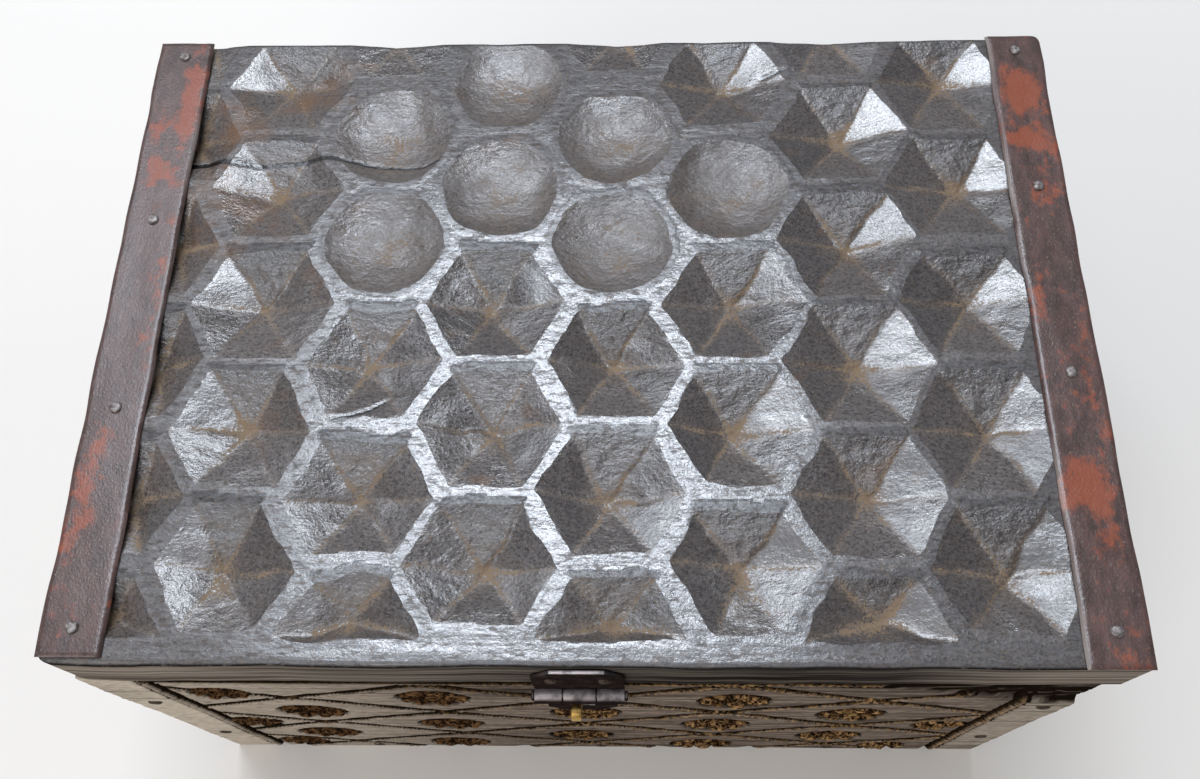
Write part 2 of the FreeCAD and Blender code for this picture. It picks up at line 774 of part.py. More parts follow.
# Brass staple: eye in front, shank through the board, ends bent over inside
staple = new_body("brass_staple")
EYE = "(Sizes.eye_radius + Sizes.eye_wall)"
EYE_Y = "-(Sizes.eye_radius + Sizes.eye_wall + Sizes.eye_standoff)"
HALF = "-Sizes.staple_thickness / 2"
eye = new_sketch(staple, "YZ_Plane", HALF)
circle(eye, EYE_Y, "0", EYE)
circle(eye, EYE_Y, "0", "Sizes.eye_radius")
pad(staple, eye, "Sizes.staple_thickness")
shank = new_sketch(staple, "YZ_Plane", HALF)
root = "-(Sizes.eye_wall / 2 + Sizes.eye_standoff)"
tall = "Sizes.shank_height / 2"
wall_back = "Sizes.wall_thickness"
tail_back = "Sizes.wall_thickness + Sizes.tail_thickness"
tail_end = "(Sizes.shank_height / 2 + Sizes.tail_length)"
outline(
    shank,
    [
        (root, "-" + tall),
        (wall_back, "-" + tall),
        (wall_back, "-" + tail_end),
        (tail_back, "-" + tail_end),
        (tail_back, tail_end),
        (wall_back, tail_end),
        (wall_back, tall),
        (root, tall),
    ],
)
pad(staple, shank, "Sizes.staple_thickness")
place(
    staple,
    "Sizes.hasp_shift + Sizes.staple_shift",
    "-Sizes.box_depth / 2",
    "Sizes.body_height - Sizes.hasp_drop - Sizes.staple_drop",
)

# Nail groups
nail_groups = [
    nail_group("front_corner_nails", nail, front_corner_places),
    nail_group("back_corner_nails", nail, back_corner_places),
    nail_group("bottom_nails", nail, base_places),
    nail_group("left_strip_nails", tack, left_strip_places),
    nail_group("right_strip_nails", tack, right_strip_places),
    nail_group("hinge_lid_nails", tack, hinge_lid_places),
    nail_group("hinge_body_nails", tack, hinge_box_places),
    nail_group("hasp_nails", tack, hasp_places),
]

pieces = [front_panel, back_panel, left_panel, right_panel, bottom_board, lid_plank, left_strip, right_strip]
pieces += hinge_pieces + [hasp_leaf, hasp_strap, hasp_pin, staple] + nail_groups

doc.recompute()
for thing in doc.Objects:
    if "Invalid" in thing.State or "Error" in thing.State:
        raise RuntimeError("%s is in state %s" % (thing.Label, thing.State))
os.makedirs("parts", exist_ok=True)
for piece in pieces:
    if piece.Shape.isNull() or not piece.Shape.isValid():
        raise RuntimeError("%s has no valid shape" % piece.Label)
    piece.Shape.exportStep("parts/%s.step" % piece.Label)
    print(piece.Label, len(piece.Shape.Solids), round(piece.Shape.Volume, 1))
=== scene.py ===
"""Carved wooden storage box: looks of its boards, iron strips, nails, hinges, hasp and staple."""

import math

import bmesh
import bpy
import numpy as np
from bpy.props import FloatProperty, FloatVectorProperty, PointerProperty
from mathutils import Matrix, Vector


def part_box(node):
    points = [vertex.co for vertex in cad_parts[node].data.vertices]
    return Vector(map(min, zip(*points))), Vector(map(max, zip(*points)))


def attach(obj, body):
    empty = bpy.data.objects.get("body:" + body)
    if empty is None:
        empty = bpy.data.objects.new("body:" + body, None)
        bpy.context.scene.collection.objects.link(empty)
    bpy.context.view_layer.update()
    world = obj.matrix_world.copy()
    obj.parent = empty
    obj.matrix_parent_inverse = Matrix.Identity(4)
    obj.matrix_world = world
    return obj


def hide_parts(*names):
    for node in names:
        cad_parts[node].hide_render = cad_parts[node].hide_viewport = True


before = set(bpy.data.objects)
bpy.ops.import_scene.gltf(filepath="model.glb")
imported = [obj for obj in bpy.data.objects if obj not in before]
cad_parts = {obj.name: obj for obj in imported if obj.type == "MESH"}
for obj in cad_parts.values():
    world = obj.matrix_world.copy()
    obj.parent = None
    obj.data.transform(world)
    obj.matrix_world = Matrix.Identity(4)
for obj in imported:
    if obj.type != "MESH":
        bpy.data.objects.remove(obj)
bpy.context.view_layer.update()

bl_info = {
    "name": "Carved Storage Box",
    "version": (1, 0, 0),
    "blender": (4, 5, 0),
    "location": "View3D > Sidebar > Storage Box",
    "description": "Builds a wooden storage box with a honeycomb lid and a lattice front",
    "category": "Object",
}

MM = 0.001
EDGE_ANGLE = math.radians(50)  # corners sharper than this stay sharp
TINY = 1e-6  # keeps a division from dividing by nought
X_AXIS = Vector((1, 0, 0))
Y_AXIS = Vector((0, 1, 0))
Z_AXIS = Vector((0, 0, 1))


def kind(maker, **settings):
    """A kind of setting, made from a name, a description and a start value."""
    return lambda name, description, default: maker(
        name=name, description=description, default=default, **settings
    )


amount = kind(FloatProperty, min=0)
length = kind(FloatProperty, unit="LENGTH", precision=5)
power = kind(FloatProperty, unit="POWER")
colour = kind(FloatVectorProperty, subtype="COLOR", min=0, max=1)
place = kind(FloatVectorProperty, subtype="XYZ", unit="LENGTH")
angles = kind(FloatVectorProperty, subtype="EULER", unit="ROTATION")
direction = kind(FloatVectorProperty, subtype="DIRECTION")
size = kind(FloatVectorProperty, size=2, unit="LENGTH")


class LidLooks(bpy.types.PropertyGroup):
    """Sizes and colours of the carved lid."""

    spacing: length("Mesh spacing", "Distance between the points of the carved face", 0.00082)
    first_column: length("First column", "Leftmost column of pits, from the middle", -0.139)
    column_step: length("Column step", "Distance from one column of pits to the next", 0.03635)
    row_step: length("Row step", "Distance from one pit to the next in a column", 0.0417)
    odd_start: length("Odd start", "Rearmost pit of every second column", 0.0885)
    even_start: length("Even start", "Rearmost pit of the other columns", 0.1093)
    star_depth: length("Star depth", "Depth of a six-sided pit", 0.0058)
    bowl_depth: length("Bowl depth", "Depth of a round bowl", 0.0036)
    rear_depth: length("Rear depth", "Depth of the pits cut short by the back edge", 0.002)
    level_rim: length("Level rim", "Flat rim between two pits of one column", 0.0060)
    slant_rim: length("Slanting rim", "Flat rim between pits of neighbouring columns", 0.0045)
    front_margin: length("Front margin", "Uncarved width along the front edge", 0.0073)
    end_margin: length("End margin", "Uncarved width along each end", 0.011)
    edge_wear: length("Edge wear", "How far the outline is rubbed back", 0.0005)
    edge_round: length("Edge round", "Rounding of the upper edges", 0.0009)
    front_corner: length("Front corner", "Rounding of the left front corner", 0.005)
    back_corner: length("Back corner", "Rounding of the right back corner", 0.003)
    dark: colour("Dark wood", "Oiled wood in the deep grain", (0.050, 0.043, 0.043))
    brown: colour("Brown wood", "Oiled wood between the grain lines", (0.146, 0.122, 0.111))
    warm: colour("Warm wood", "Reddish wood showing through", (0.150, 0.075, 0.036))
    # pale bluish rims in the middle of the lid: rubbing and a painted highlight
    worn: colour("Worn wood", "Wood rubbed pale on the rims", (0.150, 0.152, 0.160))
    side_dark: colour("Side grain", "Darker grain on the plank's sides", (0.085, 0.068, 0.056))
    side_pale: colour("Side wood", "Paler wood on the plank's sides", (0.330, 0.285, 0.240))
    # near-black for the grime in the pores, the darker middle of the front face, and a painted
    # shade line along the upper edges
    grime: colour("Grime", "Black grime on the edges", (0.012, 0.010, 0.009))
    dust: colour("Dust", "Dust in the valleys", (0.240, 0.170, 0.110))
    # the dark of the cracks is painted shade inside them
    crack: colour("Crack", "Dark of the open cracks", (0.006, 0.004, 0.003))


class FrontLooks(bpy.types.PropertyGroup):
    """Sizes and colours of the carved front board."""

    spacing: length("Mesh spacing", "Distance between the points of the carved face", 0.0007)
    half_width: length("Half width", "Half the width of a diamond of the lattice", 0.046)
    half_height: length("Half height", "Half the height of a diamond of the lattice", 0.0263)
    lattice_x: length("Lattice place", "Middle of the lattice, from the middle", -0.0043)
    lattice_z: length("Lattice height", "Middle of the lattice, above the floor", 0.0925)
    flower_depth: length("Flower depth", "How deep a flower is sunk", 0.003)
    border: length("Border", "Where the upright border lines run, from the middle", 0.1325)
    top_line: length("Top line", "Height of the line along the top", 0.148)
    top_edge: length("Top edge", "Height of the board's top edge", 0.153)
    broken_start: length("Break start", "Where the broken corner begins, from the middle", 0.070)
    broken_length: length("Break length", "How long the broken corner is", 0.075)
    broken_height: length("Break height", "How tall the broken corner is at the end", 0.034)
    broken_depth: length("Break depth", "How deep the broken corner is at the end", 0.002)
    edge_wear: length("Edge wear", "How far the outline is rubbed back", 0.0005)
    edge_round: length("Edge round", "Rounding of the outer edges", 0.0007)
    # near-black for grime and painted shade in the cuts, the flower beds and the broken corner
    dark: colour("Dark wood", "Grime in the cuts", (0.012, 0.008, 0.005))
    brown: colour("Brown wood", "Darker grain of the board", (0.080, 0.060, 0.046))
    grey: colour("Grey wood", "Bleached grain of the board", (0.370, 0.300, 0.245))
    # pale wood at the ends, and on the left half as painted light
    pale: colour("Pale wood", "Wood scoured pale at the ends", (0.640, 0.560, 0.460))
    red: colour("Red ground", "Red-brown ground left on the petals", (0.085, 0.036, 0.016))
    gilt: colour("Gilding", "Rubbed gilding on the petals", (0.580, 0.350, 0.155))


class BoardLooks(bpy.types.PropertyGroup):
    """Sizes and colours of the plain boards."""

    spacing: length("Mesh spacing", "Distance between the points of a plain face", 0.002)
    edge_wear: length("Edge wear", "How far a plain edge is rubbed back", 0.0007)
    edge_round: length("Edge round", "Rounding of a plain edge", 0.0008)
    dark: colour("Dark wood", "Deep grain", (0.045, 0.034, 0.026))
    brown: colour("Brown wood", "Face of the board", (0.150, 0.118, 0.090))


class IronLooks(bpy.types.PropertyGroup):
    """Sizes and colours of the ironwork and the brass."""

    spacing: length("Mesh spacing", "Distance between the points of a strip", 0.0008)
    edge: length("Edge round", "Rounding of the hasp's and hinges' edges", 0.00022)
    head_height: length("Head height", "Height of a nail's domed head", 0.0008)
    strip_wear: length("Strip wear", "How far a strip's outline is beaten in", 0.0006)
    strip_round: length("Strip round", "Rounding of a strip's edges", 0.00045)
    strip_corner: length("Strip corner", "Rounding of the right strip's back corner", 0.003)
    bare: colour("Bare strip", "Rusted dark iron of the strips", (0.058, 0.034, 0.029))
    rust: colour("Strip rust", "Redder rust of the strips", (0.125, 0.068, 0.057))
    specks: colour("Strip specks", "Small pale specks on the strips", (0.200, 0.160, 0.140))
    # pale line along the strips' inner edges: bare iron and a painted highlight
    strip_edge: colour("Strip edge", "Bare inner edge of the strips", (0.420, 0.380, 0.345))
    paint: colour("Red paint", "Old red paint left on the strips", (0.300, 0.070, 0.028))
    black: colour("Black iron", "Hasp and hinge iron", (0.018, 0.013, 0.012))
    brown: colour("Brown iron", "Rust on the hasp and hinges", (0.050, 0.034, 0.030))
    # pale iron on the upward faces of the hasp and hinges: rubbing and a painted highlight
    rubbed: colour("Rubbed iron", "Hasp and hinge iron rubbed bright", (0.520, 0.455, 0.450))
    steel: colour("Nail steel", "Rubbed nail heads", (0.360, 0.325, 0.310))
    dents: colour("Nail dents", "Dents of the rubbed nail heads", (0.110, 0.085, 0.075))
    nail_rust: colour("Nail rust", "Rusty nail heads", (0.120, 0.092, 0.072))
    nail_black: colour("Nail black", "Dents of the rusty nail heads", (0.045, 0.034, 0.028))
    brass: colour("Brass", "Staple", (0.470, 0.300, 0.090))
    brass_dark: colour("Dark brass", "Pits of the staple", (0.150, 0.085, 0.030))


class StageLooks(bpy.types.PropertyGroup):
    """Camera, floor and light."""

    camera_place: place("Camera place", "Where the camera stands", (0.01057, -0.16217, 0.48521))
    camera_turn: angles("Camera turn", "How the camera is turned", (0.42077, 0.022664, 0.008915))
    focal: amount("Focal length", "Focal length in millimetres", 34.167)
    sensor: amount("Sensor width", "Width of the camera's sensor in millimetres", 36.0)
    key_place: place("Window place", "Where the bright window stands", (-0.07, 0.58, 1.60))
    key_size: size("Window size", "Width and height of the bright window", (0.64, 0.60))
    key_power: power("Window power", "Power of the bright window", 12.5)
    side_place: place("Side window place", "Where the left window stands", (-0.61, 0.64, 1.60))
    side_size: size("Side window size", "Width and height of the left window", (0.46, 1.00))
    side_power: power("Side window power", "Power of the left window", 6.0)
    sky_place: place("Ceiling place", "Where the pale ceiling hangs", (-0.25, -0.05, 1.85))
    sky_size: size("Ceiling size", "Width and depth of the pale ceiling", (1.50, 1.20))
    sky_power: power("Ceiling power", "Power of the pale ceiling", 7.6)
    fill_place: place("Fill place", "Where the light in front stands", (-0.55, -1.05, 0.75))
    fill_size: size("Fill size", "Width and height of the light in front", (1.20, 0.80))
    fill_power: power("Fill power", "Power of the light in front", 7.2)
    aim: place("Aim", "What the lights are turned to", (0.0, 0.0, 0.15))
    room_dark: amount("Room front", "Strength of the room's light in front", 0.12)
    room_bright: amount("Room back", "Strength of the room's light behind", 0.36)
    bright_side: direction("Bright side", "Where the room is brightest", (-0.35, 0.90, 0.25))
    cool: colour("Daylight", "Colour of the windows and the ceiling", (0.84, 0.905, 1.0))
    mild: colour("Lamplight", "Colour of the light in front", (1.0, 0.96, 0.92))
    floor: colour("Floor", "Pale floor", (0.860, 0.812, 0.755))
    backdrop: colour("Backdrop", "Paler floor at the back", (0.950, 0.900, 0.835))
    floor_half: length("Floor half", "Half the side of the square floor", 4.0)
    floor_lift: amount("Floor lift", "How much paler the floor looks to the camera", 0.06)


def rough(shape, spacing, along, across, seed):
    """Even noise with features of the given sizes along and across the grain."""
    noise = np.random.default_rng(seed).standard_normal(shape)
    across_rate = np.fft.fftfreq(shape[0], spacing)[:, None] * across
    along_rate = np.fft.rfftfreq(shape[1], spacing)[None, :] * along
    smooth = np.exp(-2 * math.pi**2 * (across_rate**2 + along_rate**2))
    noise = np.fft.irfft2(np.fft.rfft2(noise) * smooth, s=shape)
    return noise / (noise.std() + 1e-9)


def wander(count, spacing, reach, seed):
    """A line that wanders between 0 and 1."""
    line = rough((1, count), spacing, reach, 1, seed)[0]
    return np.clip(0.5 + 0.3 * line, 0, 1)


def step(low, high, value):
    """Rises smoothly from 0 at low to 1 at high."""
    t = np.clip((value - low) / (high - low), 0, 1)
    return t * t * (3 - 2 * t)


def soften(field):
    """Each point evened out a little with its neighbours."""
    for axis in (0, 1):
        wide = np.pad(field, [(1, 1) if k == axis else (0, 0) for k in (0, 1)], mode="edge")
        count = field.shape[axis]
        before, after = (np.take(wide, range(k, k + count), axis) for k in (0, 2))
        field = 0.7 * field + 0.15 * (before + after)
    return field


def along_line(x, y, points):
    """Distance to a line through points, and how far along it the nearest place is."""
    nearest = np.full(x.shape, 1e9)
    share = np.zeros(x.shape)
    for number, (start, end) in enumerate(zip(points, points[1:])):
        run = np.subtract(end, start)
        t = np.clip(((x - start[0]) * run[0] + (y - start[1]) * run[1]) / (run @ run), 0, 1)
        away = np.hypot(x - start[0] - t * run[0], y - start[1] - t * run[1])
        share = np.where(away < nearest, (number + t) / (len(points) - 1), share)
        nearest = np.minimum(nearest, away)
    return nearest, share


def show(mesh, material):
    """An object for a mesh: smooth, with sharp corners kept sharp."""
    mesh.shade_smooth()
    mesh.set_sharp_from_angle(angle=EDGE_ANGLE)
    mesh.materials.clear()
    mesh.materials.append(material)
    piece = bpy.data.objects.new(mesh.name, mesh)
    bpy.context.scene.collection.objects.link(piece)
    return piece


def new_piece(name, places, faces, material):
    """An object from points and faces."""
    mesh = bpy.data.meshes.new(name)
    mesh.from_pydata(np.asarray(places, float).tolist(), [], faces)
    mesh.update()
    return show(mesh, material)


def mark(piece, name, values):
    """Stores a value on each point of a piece, for its finish to read."""
    stored = piece.data.attributes.new(name, "FLOAT", "POINT")
    stored.data.foreach_set("value", np.asarray(values, np.float32))


def settle(piece, body, node):
    """Ties a piece to its body and hides the CAD node that it stands for."""
    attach(piece, body)
    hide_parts(node)


SEED_STEP = 100  # seeds set apart for one board
EDGE_SEED = 50  # first of a board's seeds for its edges
EDGE_WANDER = 5  # millimetres in which a worn edge changes its course
SNAP_SHARE = 0.42  # a point this near to the rim line moves onto it, in mesh spacings
SNAP_MARGIN = 1  # millimetres along the edges where no point moves
CARVED_TOP = -0.05  # no carved face rises above this, in millimetres from the outside
PLAIN_TOP = -0.03  # the same for a plain face
PLAIN_LEVEL = -0.22  # mean level of a plain face


class Board:
    """A closed board with a worked outer face, in millimetres from the middle of that face."""

    def __init__(self, node, across, up, spacing, seed):
        low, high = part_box(node)
        span = high - low
        self.node, self.seed = node, seed
        self.across, self.up, self.out = across, up, across.cross(up)
        self.size = [abs(span.dot(across)) / MM, abs(span.dot(up)) / MM]
        self.thickness = abs(span.dot(self.out)) / MM
        self.middle = (low + high) / 2 + self.out * (self.thickness / 2 * MM)
        self.spacing = spacing / MM
        self.columns, self.rows = (
            np.linspace(-side / 2, side / 2, max(4, round(side / self.spacing)) + 1)
            for side in self.size
        )
        self.u, self.v = np.meshgrid(self.columns, self.rows)
        self.height = np.zeros(self.u.shape)
        self.masks = {}
        self.on_line = np.zeros(self.u.shape, bool)

    def noise(self, along, across, number):
        """Noise over the face."""
        seed = self.seed * SEED_STEP + number
        return rough(self.u.shape, self.spacing, along, across, seed)

    def edge_distance(self):
        """Distance of each point from the nearest edge."""
        half_u, half_v = self.size[0] / 2, self.size[1] / 2
        return np.minimum(half_u - np.abs(self.u), half_v - np.abs(self.v))

    def spot(self, x, y, wide, tall):
        """A soft spot on the face: 1 in its middle, fading outwards."""
        return np.exp(-(((self.u - x) / wide) ** 2) - ((self.v - y) / tall) ** 2)

    def round_edges(self, radius):
        """Rolls the face down at its edges."""
        near = np.clip(radius - self.edge_distance(), 0, radius)
        self.height -= radius - np.sqrt(radius**2 - near**2)

    def round_corner(self, corner, radius):
        """Rounds one corner of the outline; corner holds the signs of its two directions."""
        straight_u = self.size[0] / 2 - radius
        straight_v = self.size[1] / 2 - radius
        a = (self.u * corner[0] - straight_u) / radius
        b = (self.v * corner[1] - straight_v) / radius
        inside = (a > 0) & (b > 0)
        round_a = a * np.sqrt(np.clip(1 - b**2 / 2, 0, 1))
        round_b = b * np.sqrt(np.clip(1 - a**2 / 2, 0, 1))
        self.u = np.where(inside, (straight_u + radius * round_a) * corner[0], self.u)
        self.v = np.where(inside, (straight_v + radius * round_b) * corner[1], self.v)

    def wear_edges(self, depth, reach=9.0):
        """Moves the outline in by an uneven amount."""
        rows, columns = self.u.shape
        half_u, half_v = self.size[0] / 2, self.size[1] / 2
        near_u = step(half_u - reach, half_u, np.abs(self.u)) * depth
        near_v = step(half_v - reach, half_v, np.abs(self.v)) * depth
        first = self.seed * SEED_STEP + EDGE_SEED
        left, right, low, high = (
            wander(count, self.spacing, EDGE_WANDER, first + number)
            for number, count in enumerate((rows, rows, columns, columns), 1)
        )
        move_u = np.where(self.u > 0, -right[:, None], left[:, None]) * near_u
        move_v = np.where(self.v > 0, -high, low) * near_v
        self.u, self.v = self.u + move_u, self.v + move_v

    def follow(self, gap):
        """Moves the points nearest to the line where the gap is nought onto it."""
        down, right = np.gradient(gap, self.spacing)
        pull = -gap / (down**2 + right**2 + TINY)
        near = np.hypot(down, right) * np.abs(pull) < SNAP_SHARE * self.spacing
        near &= self.edge_distance() > SNAP_MARGIN
        self.u = self.u + np.where(near, pull * right, 0)
        self.v = self.v + np.where(near, pull * down, 0)
        self.on_line = near

    def shell(self, levels, back_inset):
        """Points and quads of the face and its sides down to each level, and the back's rim."""
        index = np.arange(self.u.size).reshape(self.u.shape)
        corners = [index[:-1, :-1], index[:-1, 1:], index[1:, 1:], index[1:, :-1]]
        quads = [np.stack(corners, -1).reshape(-1, 4)]
        rim = np.concatenate([index[0, :-1], index[:-1, -1], index[-1, :0:-1], index[:0:-1, 0]])
        layers = [np.stack([self.u.ravel(), self.v.ravel(), self.height.ravel()], 1)]
        u, v, height = layers[0][rim].T
        above, count = rim, self.u.size
        for level in levels:
            inset = back_inset if level == levels[-1] else 0
            pull = 1 - inset / max(self.size) * 2
            depth = height + (-self.thickness - height) * level
            layers.append(np.stack([u * pull, v * pull, depth], 1))
            below = np.arange(count, count + len(rim))
            quads.append(np.stack([above, below, np.roll(below, -1), np.roll(above, -1)], 1))
            above, count = below, count + len(rim)
        return np.concatenate(layers), np.concatenate(quads), above[::-1]

    def faces(self, quads, back, on_line):
        """The quads, split where the rim line runs from corner to corner, and the back."""
        whole = on_line[quads].all(1)
        falling = on_line[quads[:, [0, 2]]].all(1) & ~whole
        rising = on_line[quads[:, [1, 3]]].all(1) & ~whole & ~falling
        faces = quads[~falling & ~rising].tolist() + [back.tolist()]
        for split, halves in (
            (falling, ([0, 1, 2], [0, 2, 3])),
            (rising, ([0, 1, 3], [1, 2, 3])),
        ):
            for half in halves:
                faces += quads[split][:, half].tolist()
        return faces

    def build(self, name, levels, body, material, back_inset=0.4):
        """Makes the closed mesh and puts it in the CAD node's place."""
        points, quads, back = self.shell(levels, back_inset)
        on_line = np.zeros(len(points), bool)
        on_line[: self.u.size] = self.on_line.ravel()
        axes = np.array([self.across, self.up, self.out])
        places = points * MM @ axes + np.array(self.middle)
        piece = new_piece(name, places, self.faces(quads, back, on_line), material)
        edges = piece.data.edges
        ends = np.array([edge.vertices[:] for edge in edges])
        sharp = np.array([edge.use_edge_sharp for edge in edges]) | on_line[ends].all(1)
        edges.foreach_set("use_edge_sharp", sharp)
        for mask, values in self.masks.items():
            spread = np.zeros(len(points))
            spread[: self.u.size] = values.ravel()
            mark(piece, mask, spread)
        settle(piece, body, self.node)


class Nodes:
    """The nodes of a material or a world, put together step by step."""

    def __init__(self, owner):
        owner.use_nodes = True
        self.tree = owner.node_tree

    def add(self, node_type, inputs=None, **settings):
        """One node, with its settings and with values or links on its inputs."""
        node = self.tree.nodes.new(node_type)
        for setting, value in settings.items():
            setattr(node, setting, value)
        for socket, value in (inputs or {}).items():
            self.put(node, socket, value)
        return node

    def put(self, node, socket, value):
        """A link or a plain value on one input."""
        target = node.inputs[socket]
        if isinstance(value, bpy.types.NodeSocket):
            self.tree.links.new(value, target)
        elif target.type == "RGBA" and len(value) == 3:
            target.default_value = (*value, 1)
        else:
            target.default_value = value

    def scaled(self, value, low, high, to_low=0.0, to_high=1.0):
        """A value moved from one range to another."""
        inputs = {"Value": value, "From Min": low, "From Max": high}
        inputs |= {"To Min": to_low, "To Max": to_high}
        return self.add("ShaderNodeMapRange", inputs).outputs["Result"]

    def math(self, operation, a, b, clamp=True):
        """Two values put together, kept between 0 and 1 unless clamp is off."""
        node = self.add("ShaderNodeMath", {0: a, 1: b}, operation=operation, use_clamp=clamp)
        return node.outputs[0]

    def times(self, a, b):
        """One value times another."""
        return self.math("MULTIPLY", a, b)

    def plus(self, a, b, clamp=True):
        """Two values added up."""
        return self.math("ADD", a, b, clamp)

    def larger(self, a, b):
        """The larger of two values."""
        return self.math("MAXIMUM", a, b)

    def mix(self, factor, a, b):
        """From colour a to colour b."""
        node = self.add("ShaderNodeMix", data_type="RGBA")
        self.put(node, 0, factor)
        self.put(node, 6, a)
        self.put(node, 7, b)
        return node.outputs[2]


class Finish(Nodes):
    """A material for one kind of wood or metal."""

    def __init__(self, name):
        self.material = bpy.data.materials.new(name)
        super().__init__(self.material)
        self.shader = self.tree.nodes["Principled BSDF"]
        self.place = self.add("ShaderNodeTexCoord").outputs["Object"]

    def noise(self, per_metre, detail=4.0, roughness=0.55, distortion=0.0):
        """Noise with that many features to the metre along each axis."""
        scaled = self.add("ShaderNodeMapping", {"Vector": self.place, "Scale": per_metre})
        inputs = {"Vector": scaled.outputs["Vector"], "Scale": 1.0, "Detail": detail}
        inputs |= {"Roughness": roughness, "Distortion": distortion}
        return self.add("ShaderNodeTexNoise", inputs).outputs["Fac"]

    def mask(self, name):
        """A value stored on the points of the piece."""
        return self.add("ShaderNodeAttribute", attribute_name=name).outputs["Fac"]

    def along(self, axis):
        """Where a place lies along one axis of the object, in metres."""
        return self.add("ShaderNodeSeparateXYZ", {"Vector": self.place}).outputs[axis]

    def bump(self, height, strength, distance, normal=None):
        """Small relief."""
        inputs = {"Height": height, "Strength": strength, "Distance": distance}
        if normal is not None:
            inputs["Normal"] = normal
        return self.add("ShaderNodeBump", inputs).outputs["Normal"]

    def finish(self, **inputs):
        """Sets the shader's own inputs."""
        for socket, value in inputs.items():
            self.put(self.shader, socket.replace("_", " "), value)
        return self.material


